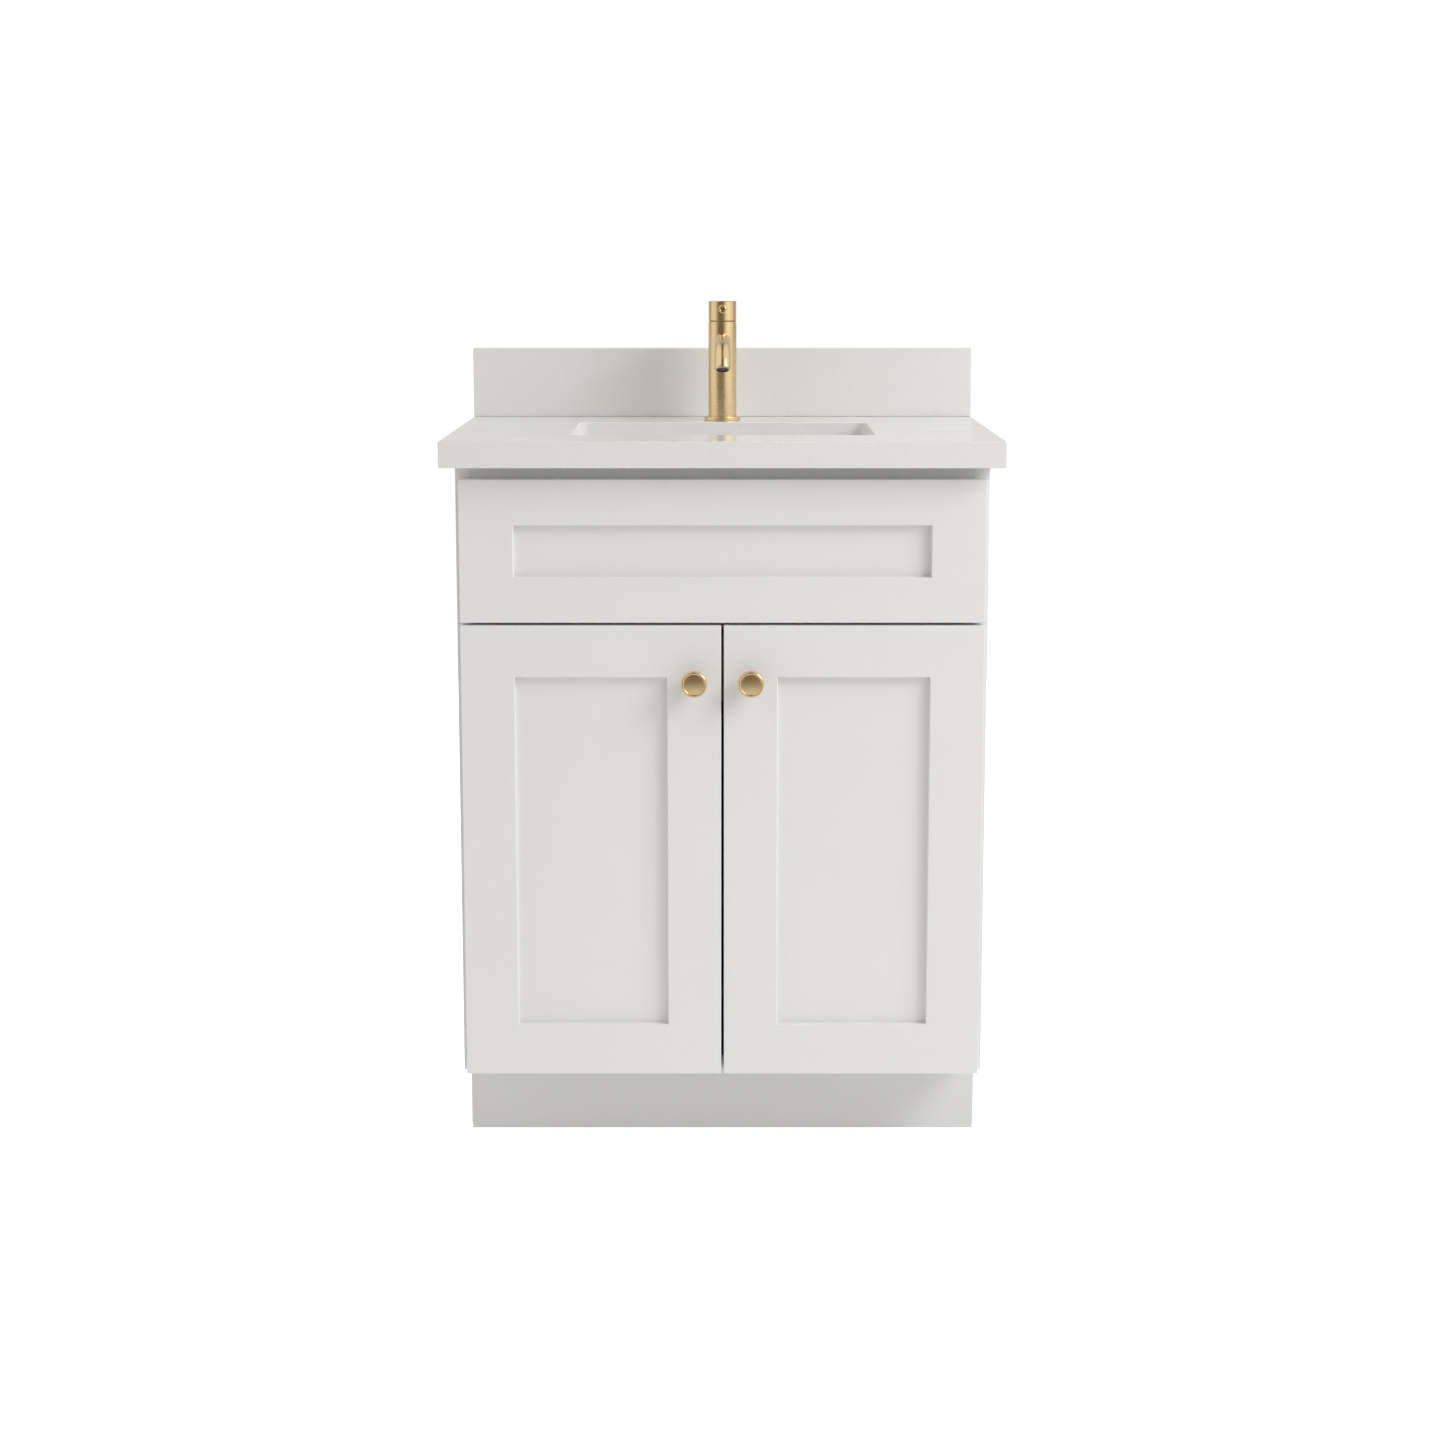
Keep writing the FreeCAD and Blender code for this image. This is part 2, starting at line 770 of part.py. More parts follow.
def save_drain():
    gasket_bottom = basin_underside - gasket_thickness
    locknut_bottom = gasket_bottom - locknut_thickness
    gasket = upright(gasket_radius, 0, sink_middle, gasket_bottom, basin_underside)
    locknut = hexagon(locknut_across_flats, 0, sink_middle, locknut_bottom, gasket_bottom)
    tube = upright(drain_body_radius, 0, sink_middle, drain_bottom, dish_floor)
    save("drain_body", drain_body())
    save("drain_gasket", gasket.cut(tube))
    save("drain_locknut", locknut.cut(tube))
    save("drain_tailpiece", drain_tailpiece())
    save("drain_stopper", drain_stopper())
    save("stopper_seal", stopper_seal())


# Faucet

def water_ways(radius, z0, z1):
    sides = (-passage_half_spacing, passage_half_spacing)
    return [upright(radius, x, faucet_y, z0, z1) for x in sides]


def faucet_base():
    plate = upright(base_radius, 0, faucet_y, counter_top, base_top)
    rim = edges_at(plate, lambda b: b.ZMin > base_top - base_ease)
    plate = plate.makeFillet(base_ease, rim)
    return plate.cut(upright(shank_radius, 0, faucet_y, counter_top, base_top))


def faucet_body():
    rim_z = cap_middle - math.sqrt(dish_radius ** 2 - body_radius ** 2)
    body = upright(body_radius, 0, faucet_y, base_top, rim_z)
    body = body.makeChamfer(rim_ease, edges_at(body, lambda b: b.ZMin > rim_z - rim_ease))
    dish = Part.makeSphere(dish_radius, V(0, faucet_y, cap_middle))
    chamber = upright(cartridge_radius, 0, faucet_y, cartridge_bottom, rim_z)
    socket = upright(shank_radius, 0, faucet_y, base_top, base_top + shank_in_body)
    port = rod(spout_bore_radius, V(0, faucet_y, spout_z), V(0, faucet_y - body_radius, spout_z))
    ways = water_ways(passage_radius, base_top, cartridge_bottom)
    return cut_all(body, [dish, chamber, socket, port] + ways)


def faucet_cartridge():
    shell = upright(cartridge_radius, 0, faucet_y, cartridge_bottom, cartridge_top)
    bore = upright(spindle_radius + spindle_fit, 0, faucet_y, spindle_foot_bottom, cartridge_top)
    gap = spindle_foot_gap
    foot_top = spindle_foot_bottom + spindle_foot_thickness
    foot_room = upright(spindle_foot_radius + gap, 0, faucet_y, spindle_foot_bottom - gap, foot_top + gap)
    return cut_all(shell, [bore, foot_room])


def faucet_spindle():
    stem = upright(spindle_radius, 0, faucet_y, spindle_foot_bottom, cap_middle)
    foot_top = spindle_foot_bottom + spindle_foot_thickness
    foot = upright(spindle_foot_radius, 0, faucet_y, spindle_foot_bottom, foot_top)
    ball = Part.makeSphere(spindle_radius, V(0, faucet_y, cap_middle))
    reach = V(2 * spindle_radius, 0, 0)
    middle = V(0, faucet_y, cap_middle)
    hole = rod(cross_pin_radius + cross_pin_fit, middle - reach, middle + reach)
    return fused([stem, foot, ball]).cut(hole)


def cross_pin():
    half = V(cross_pin_half_length, 0, 0)
    middle = V(0, faucet_y, cap_middle)
    return rod(cross_pin_radius, middle - half, middle + half)


def cap_slot():
    # Room for the spindle while the cap tilts back: upright at the front, slanted at the tilt angle behind.
    front = spindle_radius + cap_slot_gap
    behind = front + cap_slot_gap
    low = -cap_ball_radius
    lean = math.radians(tilt_angle)
    far = behind / math.cos(lean) - low * math.tan(lean)
    outline = [(-front, front), (behind, front), (behind, 0), (far, low), (-front, low), (-front, front)]
    points = [V(-front, faucet_y + y, cap_middle + z) for y, z in outline]
    return Part.Face(Part.makePolygon(points)).extrude(V(2 * front, 0, 0))


def faucet_lever():
    z = cap_top - lever_from_cap_top
    start = V(0, faucet_y - cap_radius + lever_in_cap, z)
    lever = rod(lever_radius, start, V(0, faucet_y - lever_reach, z))
    tip = faucet_y - lever_reach + lever_ease
    return lever.makeFillet(lever_ease, edges_at(lever, lambda b: b.YMax < tip))


def faucet_cap():
    # Turned outline: a ball-shaped underside about the middle of the cap, a straight wall and an eased top.
    low = V(0, faucet_y, cap_middle - cap_ball_radius)
    rim = V(cap_radius, faucet_y, cap_middle - cap_half_height)
    half_turn = (math.pi / 2 - math.atan2(cap_half_height, cap_radius)) / 2
    dip = V(cap_ball_radius * math.sin(half_turn), 0, -cap_ball_radius * math.cos(half_turn))
    middle = V(0, faucet_y, cap_middle)
    shoulder = V(cap_radius, faucet_y, cap_top - cap_ease)
    brow = V(cap_radius - cap_ease, faucet_y, cap_top)
    crown = V(0, faucet_y, cap_top)
    edges = [Part.Arc(low, middle + dip, rim).toShape()]
    edges += Part.makePolygon([rim, shoulder, brow, crown, low]).Edges
    turned = Part.Face(Part.Wire(edges)).revolve(middle, V(0, 0, 1), 360)
    return cut_all(turned, [cap_slot(), cross_pin(), faucet_lever()])


def spout_ring(centre, direction, radius):
    return Part.Face(Part.Wire(Part.makeCircle(radius, centre, direction)))


def spout_sweep(radius):
    start = V(0, faucet_y, spout_z)
    bend_start = V(0, faucet_y - spout_run, spout_z)
    bend_middle = bend_start - V(0, 0, spout_bend_radius)
    turn = math.radians(spout_bend_angle)
    bend_end = bend_middle + V(0, -math.sin(turn), math.cos(turn)) * spout_bend_radius
    heading = V(0, -math.cos(turn), -math.sin(turn))
    run = rod(radius, start, bend_start)
    bend = spout_ring(bend_start, V(0, 1, 0), radius).revolve(bend_middle, V(1, 0, 0), spout_bend_angle)
    tip = rod(radius, bend_end, bend_end + heading * spout_end_length)
    return [run, bend, tip], bend_end + heading * spout_end_length, heading


def faucet_spout():
    pieces, outlet, heading = spout_sweep(spout_radius)
    near = spout_end_rounding
    tip = pieces[2]
    lip = [edge for edge in tip.Edges if (edge.BoundBox.Center - outlet).Length < near and edge.isClosed()]
    pieces[2] = tip.makeFillet(spout_end_rounding, lip)
    bores = spout_sweep(spout_bore_radius)[0]
    body = upright(body_radius, 0, faucet_y, base_top, cap_middle)
    return cut_all(fused(pieces), bores + [body])


def faucet_aerator():
    outlet, heading = spout_sweep(spout_radius)[1:]
    face = outlet - heading * aerator_recess
    insert = rod(spout_bore_radius, face - heading * aerator_length, face)
    screen = rod(aerator_screen_radius, face - heading * aerator_screen_depth, face)
    return insert.cut(screen)


def faucet_shank():
    low, high = counter_bottom - shank_below_counter, base_top + shank_in_body
    ways = water_ways(passage_radius, low, high) + water_ways(inlet_radius, low, low + inlet_depth)
    return cut_all(upright(shank_radius, 0, faucet_y, low, high), ways)


def faucet_nut():
    washer = upright(washer_radius, 0, faucet_y, washer_bottom, counter_bottom)
    nut = hexagon(nut_across_flats, 0, faucet_y, nut_bottom, washer_bottom)
    return fused([washer, nut]).cut(upright(shank_radius, 0, faucet_y, nut_bottom, counter_bottom))


def save_faucet():
    save("faucet_base", faucet_base())
    save("faucet_body", faucet_body())
    save("faucet_cartridge", faucet_cartridge())
    save("faucet_spindle", faucet_spindle())
    save("faucet_cross_pin", cross_pin())
    save("faucet_cap", faucet_cap())
    save("faucet_lever", faucet_lever())
    save("faucet_spout", faucet_spout())
    save("faucet_aerator", faucet_aerator())
    save("faucet_shank", faucet_shank())
    save("faucet_nut", faucet_nut())


os.makedirs("parts", exist_ok=True)
save_carcass()
save_false_front()
save_hinges()
save_doors()
save_top()
save_drain()
save_faucet()
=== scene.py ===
"""Bathroom vanity cabinet: finished shapes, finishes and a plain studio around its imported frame."""

import json
import math

import bmesh
import bpy
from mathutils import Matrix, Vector


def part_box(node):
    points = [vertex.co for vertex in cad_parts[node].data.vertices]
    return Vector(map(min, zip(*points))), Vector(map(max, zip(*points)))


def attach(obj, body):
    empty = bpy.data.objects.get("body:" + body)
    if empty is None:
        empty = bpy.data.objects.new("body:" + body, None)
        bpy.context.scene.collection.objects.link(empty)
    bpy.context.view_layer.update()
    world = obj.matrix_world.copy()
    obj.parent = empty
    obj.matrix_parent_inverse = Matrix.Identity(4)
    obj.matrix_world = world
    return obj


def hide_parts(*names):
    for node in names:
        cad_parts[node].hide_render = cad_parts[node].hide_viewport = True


bl_info = {
    "name": "Bathroom Vanity Cabinet",
    "version": (1, 0, 0),
    "blender": (4, 5, 0),
    "location": "View3D > Sidebar > Vanity",
    "description": "Builds a shaker vanity cabinet with a stone top, basin, faucet and drain",
    "category": "Add Mesh",
}

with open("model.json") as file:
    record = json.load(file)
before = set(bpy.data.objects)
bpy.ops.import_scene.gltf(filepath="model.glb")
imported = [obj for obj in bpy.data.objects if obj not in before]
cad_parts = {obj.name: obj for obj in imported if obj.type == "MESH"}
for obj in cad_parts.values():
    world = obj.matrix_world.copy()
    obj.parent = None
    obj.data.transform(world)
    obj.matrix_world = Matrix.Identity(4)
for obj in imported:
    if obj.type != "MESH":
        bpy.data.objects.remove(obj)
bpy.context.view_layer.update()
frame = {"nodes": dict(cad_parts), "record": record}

MM = 0.001
FULL_TURN = 2 * math.pi
AXIS_X = Vector((1, 0, 0))
AXIS_Y = Vector((0, 1, 0))
AXIS_Z = Vector((0, 0, 1))
SLOT_OF = {row["node"]: row["material_slot"] for row in frame["record"]["subparts"]}
BODY_OF = {
    node: body
    for body, nodes in frame["record"]["behaviour"]["bodies"].items()
    for node in nodes
}


def linear(code):
    """Linear RGBA of an sRGB hex colour."""
    shares = [int(code[place : place + 2], 16) / 255 for place in (0, 2, 4)]
    return tuple(
        share / 12.92 if share <= 0.04045 else ((share + 0.055) / 1.055) ** 2.4
        for share in shares
    ) + (1.0,)


def colour_property(name, description, code):
    return bpy.props.FloatVectorProperty(
        name=name, description=description, subtype="COLOR", size=4, min=0, max=1, default=linear(code)
    )


def length_property(name, description, millimetres):
    return bpy.props.FloatProperty(
        name=name, description=description, default=millimetres * MM, min=0, unit="LENGTH", precision=5
    )


class VanitySizes(bpy.types.PropertyGroup):
    """Sizes of the finishing work that the frame leaves open."""

    board_ease: length_property("Board edge", "Width of the eased edge on carcass boards", 0.7)
    face_ease: length_property("Door edge", "Width of the eased edge on the painted frames", 1.1)
    stone_ease: length_property("Stone edge", "Width of the polished edge of the top and backsplash", 1.5)
    plate_ease: length_property("Plate edge", "Width of the broken edge on pressed steel", 0.35)
    panel_lap: length_property("Panel lap", "How far a panel runs into its frame", 1.5)
    thread_pitch: length_property("Thread pitch", "Spacing of the turned thread grooves", 1.5)
    wall: length_property("Basin wall", "Thickness of the basin's china", 8.0)
    dish: length_property("Dish", "Radius at which the basin floor starts to fall to the drain", 96.0)
    round_steps: bpy.props.IntProperty(
        name="Round steps",
        description="Steps in one full turn of a turned piece",
        default=96,
        min=24,
        max=256,
    )


class VanityColours(bpy.types.PropertyGroup):
    """Colours of the finishes."""

    lacquer: colour_property("Lacquer", "Satin white of the doors and sides", "EDEDED")
    lacquer_shade: colour_property("Lacquer shade", "Slightly thinner white in the lacquer", "E9E9E9")
    toe_board: colour_property("Toe board", "Duller white, standing in for its shade", "DFDFDF")
    board: colour_property("Board", "White foil of the carcass boards", "E9E9E7")
    quartz: colour_property("Stone", "White of the stone top", "ECECEA")
    quartz_grain: colour_property("Stone grain", "Pale grey grain in the stone", "E6E6E4")
    china: colour_property("China", "Glazed white of the basin", "F9F9F8")
    gold: colour_property("Gold", "Champagne gold of the faucet and knobs", "E6CCA0")
    gold_shade: colour_property("Gold shade", "Deeper gold in the brushing", "DCC08F")
    brass: colour_property("Brass", "Machined brass below the top", "D8B56A")
    nickel: colour_property("Nickel", "Nickel plating of the hinges", "C9C6BF")
    zinc: colour_property("Zinc", "Zinc plating of screws and clips", "C3C6C9")
    beech: colour_property("Beech", "Beech of the dowels", "CFA877")
    beech_ray: colour_property("Beech rays", "Darker flecks in the beech", "A97F50")
    rubber: colour_property("Rubber", "Black moulded rubber", "1B1B1B")
    plastic: colour_property("Black plastic", "Black moulded plastic", "101010")
    bumper: colour_property("Bumper", "Clear door bumpers", "E8EDEE")
    acetal: colour_property("Cartridge plastic", "Off-white cartridge plastic", "D6D4CB")
    backdrop: colour_property("Backdrop", "Pale floor and surroundings", "FFFFFF")


# Materials


def add_node(tree, kind, settings=None, links=None):
    """Adds a node, sets its properties and inputs, and links its inputs to other outputs."""
    node = tree.nodes.new(kind)
    for key, value in (settings or {}).items():
        if isinstance(key, int) or key in node.inputs:
            node.inputs[key].default_value = value
        else:
            setattr(node, key, value)
    for key, source in (links or {}).items():
        tree.links.new(source, node.inputs[key])
    return node


def new_material(name):
    """An empty material, its node tree and the object's own coordinates."""
    material = bpy.data.materials.new(name)
    material.use_nodes = True
    tree = material.node_tree
    tree.nodes.clear()
    return material, tree, add_node(tree, "ShaderNodeTexCoord").outputs["Object"]


def shaded(material, settings, links):
    """Closes a material with its principled shader."""
    tree = material.node_tree
    shader = add_node(tree, "ShaderNodeBsdfPrincipled", settings, links)
    add_node(tree, "ShaderNodeOutputMaterial", links={"Surface": shader.outputs[0]})
    material.diffuse_color = settings.get("Base Color", (0.8, 0.8, 0.8, 1.0))
    return material


def sprayed_lacquer(name, bright, shade):
    # Satin lacquer sprayed on MDF: even white with a faint orange peel that softens its highlights.
    material, tree, place = new_material(name)
    cloud = add_node(tree, "ShaderNodeTexNoise", {"Scale": 1 / (140 * MM), "Detail": 3.0}, {"Vector": place})
    colour = add_node(
        tree,
        "ShaderNodeMix",
        {"data_type": "RGBA", 6: bright, 7: shade},
        {0: cloud.outputs[0]},
    )
    peel = add_node(tree, "ShaderNodeTexNoise", {"Scale": 1 / (2.2 * MM), "Detail": 1.5}, {"Vector": place})
    gloss = add_node(tree, "ShaderNodeMapRange", {"To Min": 0.3, "To Max": 0.42}, {"Value": peel.outputs[0]})
    relief = add_node(
        tree, "ShaderNodeBump", {"Strength": 0.35, "Distance": 0.03 * MM}, {"Height": peel.outputs[0]}
    )
    return shaded(
        material,
        {"IOR": 1.5},
        {
            "Base Color": colour.outputs[2],
            "Roughness": gloss.outputs[0],
            "Normal": relief.outputs[0],
        },
    )


def laminated_board(colours):
    # White melamine foil pressed on particle board: a fine pearl texture that scatters its gloss.
    material, tree, place = new_material("pressed_melamine_board")
    pearl = add_node(tree, "ShaderNodeTexVoronoi", {"Scale": 1 / (0.9 * MM)}, {"Vector": place})
    cloud = add_node(tree, "ShaderNodeTexNoise", {"Scale": 1 / (60 * MM), "Detail": 2.0}, {"Vector": place})
    shade = tuple(0.965 * share for share in colours.board[:3]) + (1.0,)
    colour = add_node(
        tree, "ShaderNodeMix", {"data_type": "RGBA", 6: colours.board, 7: shade}, {0: cloud.outputs[0]}
    )
    gloss = add_node(tree, "ShaderNodeMapRange", {"To Min": 0.36, "To Max": 0.5}, {"Value": pearl.outputs[0]})
    relief = add_node(
        tree, "ShaderNodeBump", {"Strength": 0.3, "Distance": 0.04 * MM}, {"Height": pearl.outputs[0]}
    )
    return shaded(
        material,
        {"IOR": 1.5},
        {
            "Base Color": colour.outputs[2],
            "Roughness": gloss.outputs[0],
            "Normal": relief.outputs[0],
        },
    )


def polished_quartz(colours):
    # Engineered quartz ground and polished: bright white with sugar-like grain under a mirror-like skin.
    material, tree, place = new_material("polished_engineered_quartz")
    grain = add_node(tree, "ShaderNodeTexVoronoi", {"Scale": 1 / (2.6 * MM)}, {"Vector": place})
    drift = add_node(tree, "ShaderNodeTexNoise", {"Scale": 1 / (45 * MM), "Detail": 4.0}, {"Vector": place})
    tone = add_node(tree, "ShaderNodeSeparateColor", links={"Color": grain.outputs["Color"]})
    fleck = add_node(
        tree,
        "ShaderNodeMapRange",
        {"From Min": 0.72, "From Max": 1.0, "To Max": 0.75},
        {"Value": tone.outputs[0]},
    )
    mask = add_node(
        tree, "ShaderNodeMath", {"operation": "MULTIPLY"}, {0: fleck.outputs[0], 1: drift.outputs[0]}
    )
    colour = add_node(
        tree,
        "ShaderNodeMix",
        {"data_type": "RGBA", 6: colours.quartz, 7: colours.quartz_grain},
        {0: mask.outputs[0]},
    )
    gloss = add_node(tree, "ShaderNodeMapRange", {"To Min": 0.14, "To Max": 0.2}, {"Value": drift.outputs[0]})
    relief = add_node(
        tree, "ShaderNodeBump", {"Strength": 0.1, "Distance": 0.05 * MM}, {"Height": drift.outputs[0]}
    )
    return shaded(
        material,
        {"IOR": 1.54},
        {
            "Base Color": colour.outputs[2],
            "Roughness": gloss.outputs[0],
            "Normal": relief.outputs[0],
        },
    )


def glazed_china(colours):
    # Vitreous china, dipped and fired: a thick wet-looking glaze with slow waves.
    material, tree, place = new_material("glazed_vitreous_china")
    wave = add_node(tree, "ShaderNodeTexNoise", {"Scale": 1 / (28 * MM), "Detail": 1.0}, {"Vector": place})
    pool = add_node(tree, "ShaderNodeTexNoise", {"Scale": 1 / (90 * MM), "Detail": 2.0}, {"Vector": place})
    shade = tuple(0.97 * share for share in colours.china[:3]) + (1.0,)
    colour = add_node(
        tree, "ShaderNodeMix", {"data_type": "RGBA", 6: colours.china, 7: shade}, {0: pool.outputs[0]}
    )
    gloss = add_node(tree, "ShaderNodeMapRange", {"To Min": 0.05, "To Max": 0.12}, {"Value": pool.outputs[0]})
    relief = add_node(
        tree, "ShaderNodeBump", {"Strength": 0.12, "Distance": 0.2 * MM}, {"Height": wave.outputs[0]}
    )
    return shaded(
        material,
        {"IOR": 1.52, "Coat Weight": 0.3, "Coat Roughness": 0.03},
        {
            "Base Color": colour.outputs[2],
            "Roughness": gloss.outputs[0],
            "Normal": relief.outputs[0],
        },
    )


def turned_metal(name, bright, deep, axis, centre, roughness, pitch, mirrored=False):
    """Metal finished on a lathe: fine rings round an axis, drawn at a pitch that shows."""
    material, tree, place = new_material(name)
    if mirrored:
        place = add_node(
            tree, "ShaderNodeVectorMath", {"operation": "ABSOLUTE"}, {0: place}
        ).outputs[0]
    offset = add_node(
        tree, "ShaderNodeVectorMath", {"operation": "SUBTRACT", 1: tuple(centre)}, {0: place}
    )
    along = add_node(
        tree, "ShaderNodeVectorMath", {"operation": "DOT_PRODUCT", 1: tuple(axis)}, {0: offset.outputs[0]}
    )
    across = add_node(
        tree,
        "ShaderNodeVectorMath",
        {"operation": "MULTIPLY", 1: tuple(1 - abs(share) for share in axis)},
        {0: offset.outputs[0]},
    )
    reach = add_node(tree, "ShaderNodeVectorMath", {"operation": "LENGTH"}, {0: across.outputs[0]})
    ring = add_node(tree, "ShaderNodeMath", {"operation": "ADD"}, {0: along.outputs[1], 1: reach.outputs[1]})
    brush = add_node(
        tree,
        "ShaderNodeTexNoise",
        {"noise_dimensions": "1D", "Scale": 1 / pitch, "Detail": 3.0},
        {"W": ring.outputs[0]},
    )
    cloud = add_node(tree, "ShaderNodeTexNoise", {"Scale": 1 / (9 * MM), "Detail": 3.0}, {"Vector": place})
    colour = add_node(
        tree, "ShaderNodeMix", {"data_type": "RGBA", 6: bright, 7: deep}, {0: brush.outputs[0]}
    )
    worn = add_node(tree, "ShaderNodeMath", {"operation": "ADD"}, {0: brush.outputs[0], 1: cloud.outputs[0]})
    gloss = add_node(
        tree,
        "ShaderNodeMapRange",
        {"From Min": 0.4, "From Max": 1.6, "To Min": roughness - 0.04, "To Max": roughness + 0.05},
        {"Value": worn.outputs[0]},
    )
    relief = add_node(
        tree, "ShaderNodeBump", {"Strength": 0.1, "Distance": 0.006 * MM}, {"Height": brush.outputs[0]}
    )
    return shaded(
        material,
        {"Metallic": 1.0},
        {
            "Base Color": colour.outputs[2],
            "Roughness": gloss.outputs[0],
            "Normal": relief.outputs[0],
        },
    )


def plated_steel(name, bright, grain, roughness):
    """Electroplated pressed steel: a grey metal with a fine, slightly cloudy grain."""
    material, tree, place = new_material(name)
    cloud = add_node(tree, "ShaderNodeTexNoise", {"Scale": 1 / (6 * MM), "Detail": 4.0}, {"Vector": place})
    fine = add_node(tree, "ShaderNodeTexNoise", {"Scale": 1 / grain, "Detail": 2.0}, {"Vector": place})
    shade = tuple(0.82 * share for share in bright[:3]) + (1.0,)
    colour = add_node(
        tree, "ShaderNodeMix", {"data_type": "RGBA", 6: bright, 7: shade}, {0: cloud.outputs[0]}
    )
    gloss = add_node(
        tree,
        "ShaderNodeMapRange",
        {"To Min": roughness - 0.06, "To Max": roughness + 0.1},
        {"Value": cloud.outputs[0]},
    )
    relief = add_node(
        tree, "ShaderNodeBump", {"Strength": 0.25, "Distance": 0.02 * MM}, {"Height": fine.outputs[0]}
    )
    return shaded(
        material,
        {"Metallic": 1.0},
        {
            "Base Color": colour.outputs[2],
            "Roughness": gloss.outputs[0],
            "Normal": relief.outputs[0],
        },
    )


def turned_beech(colours):
    # Beech dowel, turned and ribbed: pale brown with short dark rays along its length.
    material, tree, place = new_material("turned_beech")
    stretched = add_node(tree, "ShaderNodeMapping", {"Scale": (0.15, 1.0, 1.0)}, {"Vector": place})
    ray = add_node(
        tree, "ShaderNodeTexNoise", {"Scale": 1 / (0.8 * MM), "Detail": 4.0}, {"Vector": stretched.outputs[0]}
    )
    colour = add_node(
        tree,
        "ShaderNodeMix",
        {"data_type": "RGBA", 6: colours.beech, 7: colours.beech_ray},
        {0: ray.outputs[0]},
    )
    relief = add_node(
        tree, "ShaderNodeBump", {"Strength": 0.4, "Distance": 0.1 * MM}, {"Height": ray.outputs[0]}
    )
    return shaded(
        material,
        {"Roughness": 0.6, "IOR": 1.5},
        {"Base Color": colour.outputs[2], "Normal": relief.outputs[0]},
    )


def moulded(name, tone, roughness, ior, grain, extra=None):
    """Injection-moulded plastic or rubber: one colour with the fine texture of its mould."""
    material, tree, place = new_material(name)
    skin = add_node(tree, "ShaderNodeTexNoise", {"Scale": 1 / grain, "Detail": 3.0}, {"Vector": place})
    shade = tuple(0.8 * share for share in tone[:3]) + (1.0,)
    colour = add_node(
        tree, "ShaderNodeMix", {"data_type": "RGBA", 6: tone, 7: shade}, {0: skin.outputs[0]}
    )
    gloss = add_node(
        tree,
        "ShaderNodeMapRange",
        {"To Min": roughness - 0.05, "To Max": roughness + 0.05},
        {"Value": skin.outputs[0]},
    )
    relief = add_node(
        tree, "ShaderNodeBump", {"Strength": 0.25, "Distance": 0.03 * MM}, {"Height": skin.outputs[0]}
    )
    settings = {"IOR": ior}
    settings.update(extra or {})
    return shaded(
        material,
        settings,
        {
            "Base Color": colour.outputs[2],
            "Roughness": gloss.outputs[0],
            "Normal": relief.outputs[0],
        },
    )


def finishes(context):
    """The material of every record slot, made once."""
    colours = context.scene.vanity_colours
    if "sprayed_satin_lacquer" not in bpy.data.materials:
        faucet_low, faucet_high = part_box("faucet_body")
        knob_low, knob_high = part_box("right_knob")
        lever_low, lever_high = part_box("faucet_lever")
        drain_low, drain_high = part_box("drain_body")
        faucet_middle = (faucet_low + faucet_high) / 2
        gold = (tuple(colours.gold), tuple(colours.gold_shade))
        sprayed_lacquer("sprayed_satin_lacquer", colours.lacquer, colours.lacquer_shade)
        # The toe board gets the same lacquer in a duller white: painted shade of the board, which sits back
        # under the doors.
        sprayed_lacquer("rolled_toe_board_lacquer", colours.toe_board, colours.toe_board)
        laminated_board(colours)
        polished_quartz(colours)
        glazed_china(colours)
        # PVD gold over brass, brushed on a lathe; the real lines are finer than the pitch drawn here.
        turned_metal("brushed_gold_upright", *gold, AXIS_Z, faucet_middle, 0.28, 0.5 * MM)
        turned_metal("brushed_gold_spout", *gold, AXIS_X, faucet_middle, 0.2, 30 * MM)
        turned_metal("brushed_gold_knob", *gold, AXIS_Y, (knob_low + knob_high) / 2, 0.24, 0.5 * MM, True)
        turned_metal("brushed_gold_lever", *gold, AXIS_Y, (lever_low + lever_high) / 2, 0.2, 0.5 * MM)
        turned_metal("brushed_gold_drain", *gold, AXIS_Z, (drain_low + drain_high) / 2, 0.2, 0.6 * MM)
        brass = (tuple(colours.brass), tuple(0.8 * share for share in colours.brass[:3]) + (1.0,))
        # Machined brass, left as the tool leaves it: visible rings and a warm shine.
        turned_metal("machined_brass", *brass, AXIS_Z, faucet_middle, 0.3, 0.8 * MM)
        plated_steel("nickel_plated_steel", tuple(colours.nickel), 0.4 * MM, 0.26)
        plated_steel("zinc_plated_steel", tuple(colours.zinc), 0.6 * MM, 0.34)
        turned_beech(colours)
        moulded("moulded_black_rubber", tuple(colours.rubber), 0.7, 1.52, 0.5 * MM)
        moulded("moulded_black_abs", tuple(colours.plastic), 0.35, 1.53, 0.4 * MM)
        moulded("moulded_acetal", tuple(colours.acetal), 0.4, 1.48, 0.4 * MM)
        # Cast polyurethane bumpers: clear, soft and slightly cloudy.
        cloudy = {"Transmission Weight": 0.75}
        moulded("cast_clear_urethane", tuple(colours.bumper), 0.16, 1.5, 1.2 * MM, cloudy)
    return {
        "white_lacquer": "sprayed_satin_lacquer",
        "white_cabinet_board": "pressed_melamine_board",
        "white_quartz": "polished_engineered_quartz",
        "vitreous_china": "glazed_vitreous_china",
        "brushed_gold": "brushed_gold_upright",
        "raw_brass": "machined_brass",
        "nickel_steel": "nickel_plated_steel",
        "zinc_steel": "zinc_plated_steel",
        "beech": "turned_beech",
        "black_rubber": "moulded_black_rubber",
        "clear_bumper": "cast_clear_urethane",
        "black_plastic": "moulded_black_abs",
        "cartridge_plastic": "moulded_acetal",
    }


# Shaping


def deselect():
    if bpy.context.mode != "OBJECT":
        bpy.ops.object.mode_set(mode="OBJECT")
    bpy.ops.object.select_all(action="DESELECT")


def pick(piece):
    """Leaves only this piece selected and active."""
    deselect()
    piece.select_set(True)
    bpy.context.view_layer.objects.active = piece


